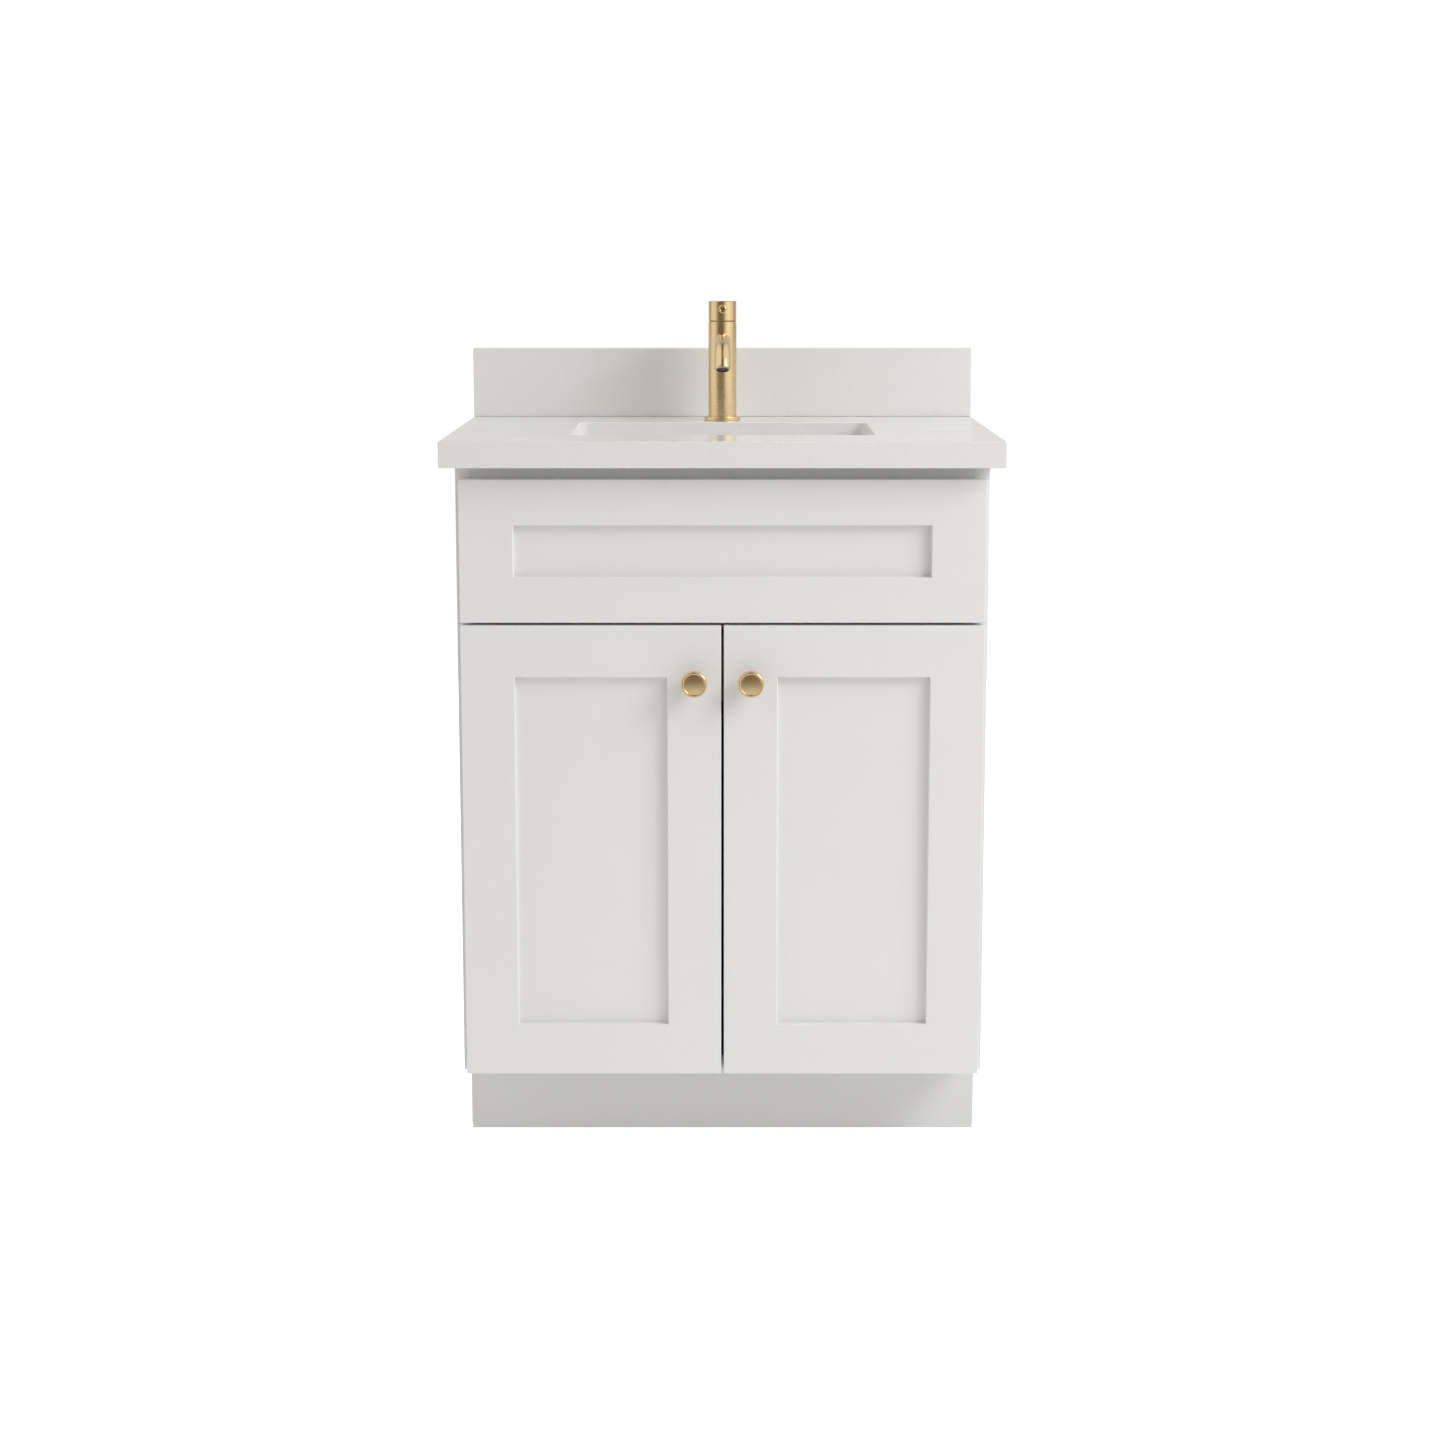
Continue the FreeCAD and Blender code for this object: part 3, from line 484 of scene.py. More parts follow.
def settled(name):
    """Names the new primitive and puts its place, turn and size into its mesh."""
    piece = bpy.context.active_object
    piece.name = name
    piece.data.name = name
    bpy.ops.object.transform_apply(location=True, rotation=True, scale=True)
    return piece


def block(name, low, high):
    """A blank between two corners."""
    deselect()
    low, high = Vector(low), Vector(high)
    bpy.ops.mesh.primitive_cube_add(size=1, location=(low + high) / 2)
    bpy.context.active_object.scale = high - low
    return settled(name)


def edit(piece, mode):
    pick(piece)
    bpy.ops.object.mode_set(mode="EDIT")
    bpy.ops.mesh.select_mode(type=mode)


def choose(piece, kind, test):
    """In edit mode, selects the faces or edges that pass a test."""
    bpy.ops.mesh.select_all(action="DESELECT")
    shape = bmesh.from_edit_mesh(piece.data)
    for part in getattr(shape, kind):
        if test(part):
            part.select_set(True)
    bmesh.update_edit_mesh(piece.data)


def middle_of(part):
    """Middle of a face or an edge."""
    return sum((corner.co for corner in part.verts), Vector()) / len(part.verts)


def modified(piece, kind, **settings):
    pick(piece)
    bpy.ops.object.modifier_add(type=kind)
    added = piece.modifiers[-1]
    for key, value in settings.items():
        setattr(added, key, value)
    bpy.ops.object.modifier_apply(modifier=added.name)
    return piece


def eased(piece, width, segments=3):
    """Rounds every edge sharper than a round piece's own steps."""
    return modified(
        piece, "BEVEL", width=width, segments=segments, limit_method="ANGLE", angle_limit=math.radians(32)
    )


def cut(piece, cutter):
    modified(piece, "BOOLEAN", operation="DIFFERENCE", object=cutter, solver="EXACT")
    bpy.data.objects.remove(cutter)
    return piece


def joined(name, pieces):
    deselect()
    for piece in pieces:
        piece.select_set(True)
    bpy.context.view_layer.objects.active = pieces[0]
    if len(pieces) > 1:
        bpy.ops.object.join()
    pieces[0].name = name
    pieces[0].data.name = name
    return pieces[0]


def smoothed(piece, degrees=30):
    """Smooth shading that keeps real edges, with flat faces kept flat."""
    pick(piece)
    bpy.ops.object.shade_smooth_by_angle(angle=math.radians(degrees))
    return modified(piece, "WEIGHTED_NORMAL", keep_sharp=True)


def arc(radius, along, bend, start, end, steps=6):
    """Points of an arc in (radius, along), its middle at (radius, along), from start to end degrees."""
    turns = [math.radians(start + (end - start) * step / steps) for step in range(steps + 1)]
    return [(radius + bend * math.cos(turn), along + bend * math.sin(turn)) for turn in turns]


def turned(name, outline, foot, axis, steps):
    """A solid turned round an axis from (radius, distance from the foot) pairs in millimetres."""
    side = axis.orthogonal().normalized()
    places = [foot + side * radius * MM + axis * along * MM for radius, along in outline]
    deselect()
    bpy.ops.mesh.primitive_plane_add(size=MM, location=places[0])
    piece = settled(name)
    edit(piece, "VERT")
    bpy.ops.mesh.select_all(action="SELECT")
    bpy.ops.mesh.merge(type="CENTER")
    for start, end in zip(places, places[1:]):
        bpy.ops.mesh.extrude_vertices_move(TRANSFORM_OT_translate={"value": end - start})
    bpy.ops.mesh.select_all(action="SELECT")
    bpy.ops.mesh.spin(steps=steps, angle=FULL_TURN, center=foot, axis=axis)
    bpy.ops.mesh.select_all(action="SELECT")
    bpy.ops.mesh.remove_doubles(threshold=1e-6)
    bpy.ops.mesh.normals_make_consistent(inside=False)
    bpy.ops.object.mode_set(mode="OBJECT")
    return piece


def recut(name, node, width):
    """A copy of a CAD node with its triangles merged into faces and its edges broken."""
    piece = bpy.data.objects.new(name, frame["nodes"][node].data.copy())
    bpy.context.scene.collection.objects.link(piece)
    edit(piece, "VERT")
    bpy.ops.mesh.select_all(action="SELECT")
    bpy.ops.mesh.remove_doubles(threshold=2e-6)
    bpy.ops.mesh.customdata_custom_splitnormals_clear()
    bpy.ops.mesh.dissolve_limited(angle_limit=math.radians(1))
    bpy.ops.object.mode_set(mode="OBJECT")
    eased(piece, width, 2)
    return smoothed(piece)


def placed(piece, context, *nodes, finish=None):
    """Gives a piece its finish, body and slot, and lets it stand for its CAD nodes."""
    slot = SLOT_OF[nodes[0]]
    names = finishes(context)
    material = bpy.data.materials[finish or names[slot]]
    piece.data.materials.clear()
    piece.data.materials.append(material)
    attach(piece, BODY_OF[nodes[0]])
    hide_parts(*nodes)
    return piece


def joint_box(nodes):
    """Lowest and highest corner of several CAD nodes together."""
    corners = [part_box(node) for node in nodes]
    low = Vector([min(corner[0][side] for corner in corners) for side in range(3)])
    high = Vector([max(corner[1][side] for corner in corners) for side in range(3)])
    return low, high


class VanityStep:
    """What the building steps share."""

    bl_options = {"REGISTER", "UNDO"}

    def sizes(self, context):
        return context.scene.vanity_sizes


class VANITY_OT_carcass(VanityStep, bpy.types.Operator):
    """Side, floor and rail boards with eased edges, and the toe kick board"""

    bl_idname = "vanity.carcass"
    bl_label = "Carcass Boards"

    def execute(self, context):
        ease = self.sizes(context).board_ease
        spare = 20 * MM
        toe_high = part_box("toe_kick_board")[1]
        for side in ("left", "right"):
            node = "side_panel_" + side
            low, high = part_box(node)
            board = block(side + "_side_board", low, high)
            notch_low = (low.x - spare, low.y - spare, low.z - spare)
            notch_high = (high.x + spare, toe_high.y, toe_high.z)
            cut(board, block("notch", notch_low, notch_high))
            placed(smoothed(eased(board, ease)), context, node, finish="sprayed_satin_lacquer")
        names = {
            "bottom_panel": "floor_board",
            "top_front_rail": "front_rail_board",
            "mid_rail": "middle_rail_board",
            "toe_kick_board": "toe_board",
            "back_panel": "back_board",
        }
        for node, name in names.items():
            low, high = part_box(node)
            # The toe board takes the duller lacquer, which is painted shade.
            finish = "rolled_toe_board_lacquer" if node == "toe_kick_board" else None
            placed(smoothed(eased(block(name, low, high), ease)), context, node, finish=finish)
        self.wall_board(context, ease)
        return {"FINISHED"}

    def wall_board(self, context, ease):
        """The upper back rail, with countersunk holes for the wall screws."""
        low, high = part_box("back_rail_upper")
        board = eased(block("upper_back_board", low, high), ease)
        mount = next(row for row in frame["record"]["mounts"] if row["name"] == "wall_screws")
        radius = mount["dims"].get("hole_r_mm", 2.75)
        spread = 203.2 * MM
        deep = (high.y - low.y) / MM
        outline = [(0, -1), (radius + 3.5, -1), (radius, 3), (radius, deep + 1), (0, deep + 1)]
        for x in (-spread, spread):
            foot = Vector((x, low.y, (low.z + high.z) / 2))
            cut(board, turned("drill", outline, foot, AXIS_Y, 32))
        placed(smoothed(board), context, "back_rail_upper")


def frame_and_panel(context, prefix, stiles, rails, panel):
    """A painted frame with a flat panel set back in it, as on the doors and the false front."""
    sizes = context.scene.vanity_sizes
    low, high = joint_box(stiles + rails)
    stile_boxes = sorted((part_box(node) for node in stiles), key=lambda corner: corner[0].x)
    rail_boxes = sorted((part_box(node) for node in rails), key=lambda corner: corner[0].z)
    left, right = stile_boxes[0][1].x, stile_boxes[1][0].x
    sill, head = rail_boxes[0][1].z, rail_boxes[1][0].z
    piece = block(prefix + "_frame", low, high)
    edit(piece, "FACE")
    cuts = [
        ((left, 0, 0), AXIS_X),
        ((right, 0, 0), AXIS_X),
        ((0, 0, sill), AXIS_Z),
        ((0, 0, head), AXIS_Z),
    ]
    for point, normal in cuts:
        bpy.ops.mesh.select_all(action="SELECT")
        bpy.ops.mesh.bisect(plane_co=point, plane_no=normal)

    def opening(face):
        middle = middle_of(face)
        return left < middle.x < right and sill < middle.z < head and abs(face.normal.y) > 0.9

    choose(piece, "faces", opening)
    bpy.ops.mesh.bridge_edge_loops()
    bpy.ops.mesh.select_all(action="SELECT")
    bpy.ops.mesh.normals_make_consistent(inside=False)
    bpy.ops.mesh.dissolve_limited(angle_limit=math.radians(1))
    bpy.ops.object.mode_set(mode="OBJECT")
    eased(piece, sizes.face_ease)
    panel_low, panel_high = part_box(panel)
    lap = sizes.panel_lap
    field = block(
        prefix + "_panel_board",
        (left - lap, panel_low.y, sill - lap),
        (right + lap, panel_high.y, head + lap),
    )
    placed(smoothed(eased(field, sizes.board_ease / 2)), context, panel)
    return piece


class VANITY_OT_false_front(VanityStep, bpy.types.Operator):
    """Fixed false drawer front: frame and recessed panel"""

    bl_idname = "vanity.false_front"
    bl_label = "False Drawer Front"

    def execute(self, context):
        stiles = ["false_front_stile_left", "false_front_stile_right"]
        rails = ["false_front_rail_top", "false_front_rail_bottom"]
        piece = frame_and_panel(context, "false_front", stiles, rails, "false_front_panel")
        placed(smoothed(piece), context, *stiles, *rails)
        return {"FINISHED"}


class VANITY_OT_doors(VanityStep, bpy.types.Operator):
    """Two shaker doors, bored at the back for their hinge cups, with clear bumpers"""

    bl_idname = "vanity.doors"
    bl_label = "Doors"

    def execute(self, context):
        for side in ("left", "right"):
            nodes = [
                side + "_door_hinge_stile",
                side + "_door_latch_stile",
                side + "_door_rail_top",
                side + "_door_rail_bottom",
            ]
            piece = frame_and_panel(context, side + "_door", nodes[:2], nodes[2:], side + "_door_panel")
            self.bore_cups(piece, side)
            placed(smoothed(piece), context, *nodes)
            self.add_bumpers(context, side)
        return {"FINISHED"}

    def bore_cups(self, piece, side):
        low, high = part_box(side + "_hinge_cups")
        pins_low, pins_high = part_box(side + "_hinge_pins")
        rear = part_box(side + "_door_latch_stile")[1].y
        radius = 17.5
        away = 1 if side == "left" else -1
        edge = low.x if side == "left" else high.x
        depth = (rear - low.y) / MM + 0.05
        half_pin = 0.5 * pin_length(side)
        for height in (pins_low.z + half_pin, pins_high.z - half_pin):
            foot = Vector((edge + away * (radius + 0.3) * MM, rear, height))
            outline = [(0, 1), (radius, 1), (radius, -depth), (0, -depth)]
            cut(piece, turned("bore", outline, foot, AXIS_Y, 64))

    def add_bumpers(self, context, side):
        node = side + "_door_bumpers"
        low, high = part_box(node)
        radius = (high.x - low.x) / 2 / MM
        thick = (high.y - low.y) / MM
        outline = [(0, 0), (radius, 0), (radius, 0.4)]
        outline += [(radius * math.cos(turn), 0.4 + (thick - 0.4) * math.sin(turn)) for turn in
                    [math.radians(15 * step) for step in range(1, 6)]]
        outline += [(0, thick)]
        x = (low.x + high.x) / 2
        heights = (low.z + radius * MM, high.z - radius * MM)
        domes = [
            turned("dome", outline, Vector((x, low.y, height)), AXIS_Y, 32) for height in heights
        ]
        placed(smoothed(joined(side + "_bumper_domes", domes)), context, node)


def pin_length(side):
    """Length of one of the two hinge pins of a door, from its mesh."""
    heights = sorted(corner.co.z for corner in frame["nodes"][side + "_hinge_pins"].data.vertices)
    low = heights[0]
    return max(height for height in heights if height < low + 50 * MM) - low


class VANITY_OT_knobs(VanityStep, bpy.types.Operator):
    """Round gold knobs with a slim neck, a rounded rim and a face sunk inside it"""

    bl_idname = "vanity.knobs"
    bl_label = "Knobs"

    def execute(self, context):
        outline = [(0, 0), (6.7, 0), (7, 0.3), (6.6, 1.0), (5.9, 2.0), (5.4, 3.0), (5.2, 4.2)]
        outline += [(5.2, 8.6), (5.5, 9.7), (6.4, 10.8), (8.5, 11.9), (13.4, 14.0)]
        outline += arc(13.4, 15.6, 1.6, -90, 0)
        outline += arc(13.0, 22.0, 2.0, 0, 90, 8)
        outline += [(12.4, 23.85), (12.0, 23.4), (11.6, 23.05), (10.5, 23.1), (8.0, 23.28)]
        outline += [(5.0, 23.42), (2.5, 23.48), (0, 23.5)]
        for side in ("left", "right"):
            node = side + "_knob"
            low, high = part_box(node)
            middle = (low + high) / 2
            foot = Vector((middle.x, high.y, middle.z))
            piece = turned(side + "_door_pull", outline, foot, -AXIS_Y, self.sizes(context).round_steps)
            placed(smoothed(piece), context, node, finish="brushed_gold_knob")
        return {"FINISHED"}


class VANITY_OT_hinges(VanityStep, bpy.types.Operator):
    """Concealed hinges: cups, arms and mounting plates with the broken edges of pressed steel"""

    bl_idname = "vanity.hinges"
    bl_label = "Hinges"

    def execute(self, context):
        ease = self.sizes(context).plate_ease
        nodes = {
            "hinge_arms": "hinge_arm_strips",
            "hinge_plates": "hinge_base_plates",
            "left_hinge_cups": "left_cup_shells",
            "right_hinge_cups": "right_cup_shells",
        }
        for node, name in nodes.items():
            placed(recut(name, node, ease), context, node)
        return {"FINISHED"}


def screw(name, head_radius, head, shank_radius, length, steps=24):
    """A pan-head screw with a cross recess, its seat at the origin and its head towards +Z."""
    outline = [(0, -length), (shank_radius * 0.4, 1.2 - length), (shank_radius * 0.8, 2.6 - length)]
    outline += [(shank_radius, 3.4 - length), (shank_radius, 0), (head_radius, 0), (head_radius, head * 0.35)]
    outline += [(head_radius * 0.9, head * 0.75), (head_radius * 0.62, head * 0.96), (0, head)]
    piece = turned(name, outline, Vector(), AXIS_Z, steps)
    half, arm = head_radius * 0.12 * MM, head_radius * 0.58 * MM
    floor, top = head * 0.35 * MM, (head + 1) * MM
    cut(piece, block("slot", (-arm, -half, floor), (arm, half, top)))
    cut(piece, block("slot", (-half, -arm, floor), (half, arm, top)))
    return piece


def driven(screw_piece, seat, direction):
    """Moves a new screw's mesh to its seat, its head pointing in the given direction."""
    turn = AXIS_Z.rotation_difference(direction).to_matrix().to_4x4()
    turn.translation = seat
    screw_piece.data.transform(turn)
    return screw_piece


class VANITY_OT_screws(VanityStep, bpy.types.Operator):
    """Every visible screw, with a domed head and a cross recess"""

    bl_idname = "vanity.screws"
    bl_label = "Screws"

    def execute(self, context):
        for node, name in (
            ("hinge_screws", "hinge_fixing_screws"),
            ("left_door_screws", "left_door_fixings"),
            ("right_door_screws", "right_door_fixings"),
            ("false_front_screws", "false_front_fixings"),
        ):
            screws = []
            for seat, direction, head_radius, head, shank_radius, length in heads_of(node):
                blank = screw("screw", head_radius, head, shank_radius, length)
                screws.append(driven(blank, seat, direction))
            placed(smoothed(joined(name, screws)), context, node)
        return {"FINISHED"}


def loose_parts(node):
    """Lowest and highest corner of each separate solid of a CAD node."""
    mesh = bmesh.new()
    mesh.from_mesh(frame["nodes"][node].data)
    bmesh.ops.remove_doubles(mesh, verts=mesh.verts, dist=1e-6)
    left = set(mesh.verts)
    boxes = []
    while left:
        group, front = set(), {left.pop()}
        while front:
            group |= front
            front = {edge.other_vert(corner) for corner in front for edge in corner.link_edges} - group
        left -= group
        points = [corner.co for corner in group]
        low = Vector([min(point[side] for point in points) for side in range(3)])
        high = Vector([max(point[side] for point in points) for side in range(3)])
        boxes.append((low, high, [point.copy() for point in points]))
    mesh.free()
    return sorted(boxes, key=lambda box: tuple(round(value, 5) for value in box[0]))


def heads_of(node):
    """Seat, direction, head radius, head height, shank radius and length of each screw of a node."""
    found = []
    for low, high, points in loose_parts(node):
        span = high - low
        side = max(range(3), key=lambda index: span[index])
        cross = [index for index in range(3) if index != side]
        centre = (low + high) / 2
        wide = max(span[index] for index in cross) / 2

        def away(point):
            return math.hypot(point[cross[0]] - centre[cross[0]], point[cross[1]] - centre[cross[1]])

        rim = [point[side] for point in points if away(point) > 0.98 * wide]
        narrow = max(away(point) for point in points if away(point) < 0.8 * wide)
        head_low, head_high = min(rim), max(rim)
        outward = 1 if head_high > centre[side] else -1
        direction = Vector([outward if index == side else 0 for index in range(3)])
        seat = centre.copy()
        seat[side] = head_low if outward > 0 else head_high
        length = abs((low if outward > 0 else high)[side] - seat[side])
        found.append(
            (seat, direction, wide / MM, (head_high - head_low) / MM, narrow / MM, length / MM)
        )
    return found


class VANITY_OT_stone(VanityStep, bpy.types.Operator):
    """Polished stone top with the basin and faucet cut-outs, and the backsplash"""

    bl_idname = "vanity.stone"
    bl_label = "Stone Top"

    def execute(self, context):
        ease = self.sizes(context).stone_ease
        low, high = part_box("countertop")
        opening = self.opening_blank(low, high)
        top = eased(cut(block("stone_top", low, high), opening), ease)
        shank_low, shank_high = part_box("faucet_shank")
        foot = Vector((0, (shank_low.y + shank_high.y) / 2, low.z))
        deep, wide = (high.z - low.z) / MM, 17.5
        hole = [(0, -1), (wide, -1), (wide, deep + 1), (0, deep + 1)]
        cut(top, turned("hole", hole, foot, AXIS_Z, 48))
        placed(smoothed(top), context, "countertop")
        low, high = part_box("backsplash")
        placed(smoothed(eased(block("stone_backsplash", low, high), ease)), context, "backsplash")
        return {"FINISHED"}

    def opening_blank(self, low, high):
        """The basin cut-out: the basin's inside less the stone's overhang, with rounded corners."""
        reveal, lap, corner = 3 * MM, 22 * MM, 13 * MM
        rim_low, rim_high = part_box("sink_basin")
        inset = reveal + lap
        blank = block(
            "opening",
            (rim_low.x + inset, rim_low.y + inset, low.z - 10 * MM),
            (rim_high.x - inset, rim_high.y - inset, high.z + 10 * MM),
        )
        edit(blank, "EDGE")
        choose(blank, "edges", lambda edge: abs(edge.verts[0].co.z - edge.verts[1].co.z) > 10 * MM)
        bpy.ops.mesh.bevel(offset=corner, segments=10)
        bpy.ops.object.mode_set(mode="OBJECT")
        return blank


class VANITY_OT_basin(VanityStep, bpy.types.Operator):
    """Undermount china basin with rounded corners, a sloped floor and a flat flange"""

    bl_idname = "vanity.basin"
    bl_label = "Basin"

    def execute(self, context):
        sizes = self.sizes(context)
        low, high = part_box("sink_basin")
        lap, corner, bend, rim = 22 * MM, 22 * MM, 20 * MM, 10 * MM
        fall = 3 * MM
        floor = sizes.wall + fall
        inside_low = Vector((low.x + lap, low.y + lap, low.z + floor))
        inside_high = Vector((high.x - lap, high.y - lap, high.z + rim))
        outside_low = Vector((inside_low.x - sizes.wall, inside_low.y - sizes.wall, low.z))
        outside_high = Vector((inside_high.x + sizes.wall, inside_high.y + sizes.wall, high.z - rim / 2))
        basin = self.tub(outside_low, outside_high, corner + sizes.wall, bend + sizes.wall)
        flange = block("flange", (low.x, low.y, high.z - rim), high)
        self.round_corners(flange, 35 * MM)
        modified(basin, "BOOLEAN", operation="UNION", object=flange, solver="EXACT")
        bpy.data.objects.remove(flange)
        cut(basin, self.tub(inside_low, inside_high, corner, bend))
        drain_low, drain_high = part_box("drain_body")
        foot = Vector((0, (drain_low.y + drain_high.y) / 2, low.z))
        wide, deep = sizes.dish / MM, floor / MM
        dish = [(0, deep - 3), (34, deep - 3), (wide, deep), (wide + 0.5, deep + 2), (0, deep + 2)]
        cut(basin, turned("dish", dish, foot, AXIS_Z, sizes.round_steps))
        drain_hole = 22.5
        hole = [(0, -5), (drain_hole, -5), (drain_hole, 30), (0, 30)]
        cut(basin, turned("hole", hole, foot, AXIS_Z, 64))
        basin.name = "china_basin"
        basin.data.name = "china_basin"
        placed(smoothed(basin, 40), context, "sink_basin")
        return {"FINISHED"}

    def round_corners(self, blank, radius):
        """Rounds the upright edges of a block."""
        edit(blank, "EDGE")
        choose(blank, "edges", lambda edge: abs(edge.verts[0].co.z - edge.verts[1].co.z) > 5 * MM)
        bpy.ops.mesh.bevel(offset=radius, segments=10)
        bpy.ops.object.mode_set(mode="OBJECT")

    def tub(self, low, high, corner, bend):
        """A block with rounded upright edges and a rounded floor edge."""
        blank = block("tub", low, high)
        self.round_corners(blank, corner)
        edit(blank, "EDGE")
        choose(blank, "edges", lambda edge: all(end.co.z < low.z + 1e-5 for end in edge.verts))
        bpy.ops.mesh.bevel(offset=bend, segments=8)
        bpy.ops.object.mode_set(mode="OBJECT")
        return blank


def threaded(radius, low, high, pitch, depth=0.55):
    """Outline points of a thread drawn as turned V grooves, from low to high millimetres."""
    count = int((high - low) / pitch)
    points = []
    for turn in range(count):
        start = low + turn * pitch
        points += [(radius, start + 0.15 * pitch), (radius - depth, start + 0.5 * pitch)]
        points += [(radius, start + 0.85 * pitch)]
    return points


def hexagonal(name, across, bore, low, high, foot, steps):
    """A hexagon nut with chamfered corners and a round bore, in millimetres about a foot."""
    deselect()
    deep = (high - low) * MM
    middle = foot + AXIS_Z * (low + high) / 2 * MM
    bpy.ops.mesh.primitive_cylinder_add(
        vertices=6,
        radius=across / math.sqrt(3) * MM,
        depth=deep,
        location=middle,
        rotation=(0, 0, math.pi / 6),
    )
    piece = settled(name)
    wide = across / math.sqrt(3)
    rim = across / 2
    crown = [(rim * 0.98, low - 1), (wide + 3, low - 1), (wide + 3, high + 1), (rim * 0.98, high + 1)]
    crown += [(rim * 0.98, high + 0.1), (wide + 0.4, high - 1.6), (wide + 0.4, low + 1.6)]
    crown += [(rim * 0.98, low - 0.1), (rim * 0.98, low - 1)]
    cut(piece, turned("chamfer", crown, foot, AXIS_Z, steps))
    through = [(0, low - 1), (bore, low - 1), (bore, high + 1), (0, high + 1)]
    cut(piece, turned("bore", through, foot, AXIS_Z, steps))
    return eased(piece, 0.4 * MM, 2)


class VANITY_OT_drain(VanityStep, bpy.types.Operator):
    """Pop-up drain: flange and threaded body, gasket, locknut, tailpiece, stopper and its seal"""

    bl_idname = "vanity.drain"
    bl_label = "Drain"

    def execute(self, context):
        steps = self.sizes(context).round_steps
        pitch = self.sizes(context).thread_pitch / MM
        low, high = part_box("drain_body")
        foot = Vector((0, (low.y + high.y) / 2, low.z))
        tall = (high.z - low.z) / MM
        socket = 15.6
        outline = [(socket, 0), (19.4, 0), (20, 0.6)]
        outline += threaded(20, 1.5, tall - 12, pitch)
        outline += [(20, tall - 3), (30.4, tall - 3)]
        outline += arc(29.6, tall - 1.4, 1.4, -30, 90)
        outline += [(22.6, tall - 0.3), (21.2, tall - 0.6), (20.6, tall - 1.2), (14.5, tall - 12), (14.5, 12)]
        outline += [(socket, 12), (socket, 0)]
        body = turned("drain_flange_body", outline, foot, AXIS_Z, steps)
        guide_low, guide_high = foot.z + (tall - 38) * MM, foot.z + (tall - 30) * MM
        reach, half = 17 * MM, 2 * MM
        bars = []
        for x, y in ((reach, half), (half, reach)):
            bar = block("bar", (-x, foot.y - y, guide_low), (x, foot.y + y, guide_high))
            bars.append(eased(bar, half / 4))
        hub = [(4.05, tall - 38), (7.6, tall - 38), (8, tall - 37.6), (8, tall - 30.4), (7.6, tall - 30)]
        hub += [(4.05, tall - 30), (4.05, tall - 38)]
        hub = turned("hub", hub, foot, AXIS_Z, 48)
        stem_bore = [(0, 0), (4.05, 0), (4.05, tall), (0, tall)]
        for bar in bars:
            cut(bar, turned("bore", stem_bore, foot, AXIS_Z, 48))
        body = joined("drain_flange_body", [body, *bars, hub])
        placed(smoothed(body), context, "drain_body", finish="brushed_gold_drain")
        self.lower_pieces(context, foot, steps)
        self.stopper(context, foot, steps)
        return {"FINISHED"}

    def lower_pieces(self, context, foot, steps):
        low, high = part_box("drain_locknut")
        base, top = (low.z - foot.z) / MM, (high.z - foot.z) / MM
        nut = hexagonal("drain_hex_nut", 58, 20, base, top, foot, steps)
        placed(smoothed(nut), context, "drain_locknut")
        low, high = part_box("drain_gasket")
        base, top = (low.z - foot.z) / MM, (high.z - foot.z) / MM
        outline = [(20, base), (29.6, base), (30.6, base + 1), (31, (base + top) / 2), (30.6, top - 1)]
        outline += [(29.6, top), (20, top), (20, base)]
        ring = turned("drain_washer_ring", outline, foot, AXIS_Z, steps)
        placed(smoothed(ring), context, "drain_gasket")
        low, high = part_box("drain_tailpiece")
        base, top = (low.z - foot.z) / MM, (high.z - foot.z) / MM
        outer, bore, shoulder, root = 15.875, 14.575, top - 18, 15.5
        outline = [(bore, base), (outer - 0.5, base), (outer, base + 0.5), (outer, base + 3)]
        outline += [(outer, shoulder - 0.3), (root, shoulder)]
        outline += threaded(root, shoulder, top - 0.6, 1.4, 0.4)
        outline += [(root - 0.4, top), (bore, top), (bore, base)]
        tube = turned("drain_tail_tube", outline, foot, AXIS_Z, steps)
        placed(smoothed(tube), context, "drain_tailpiece", finish="brushed_gold_drain")

    def stopper(self, context, foot, steps):
        low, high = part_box("drain_stopper")
        top = (high.z - foot.z) / MM
        tail = (low.z - foot.z) / MM
        under = top - 3.5
        outline = [(0, tail), (3.4, tail), (4, tail + 0.6), (4, under), (25.6, under)]
        outline += arc(25.6, under + 1.4, 1.4, -90, 0, 4)
        outline += arc(24.6, under + 1.4, 2.4, 0, 78, 8)
        outline += [(20, top - 0.28), (12, top - 0.1), (5, top - 0.02), (0, top)]
        cap = turned("drain_stopper_cap", outline, foot, AXIS_Z, steps)
        placed(smoothed(cap), context, "drain_stopper", finish="brushed_gold_drain")
        low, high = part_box("stopper_seal")
        base, top = (low.z - foot.z) / MM, (high.z - foot.z) / MM
        outline = [(4, base), (25.2, base), (25.8, base + 0.4), (26, base + 1.1), (25.8, top - 0.4)]
        outline += [(25.4, top), (4, top), (4, base)]
        placed(smoothed(turned("stopper_seal_ring", outline, foot, AXIS_Z, steps)), context, "stopper_seal")


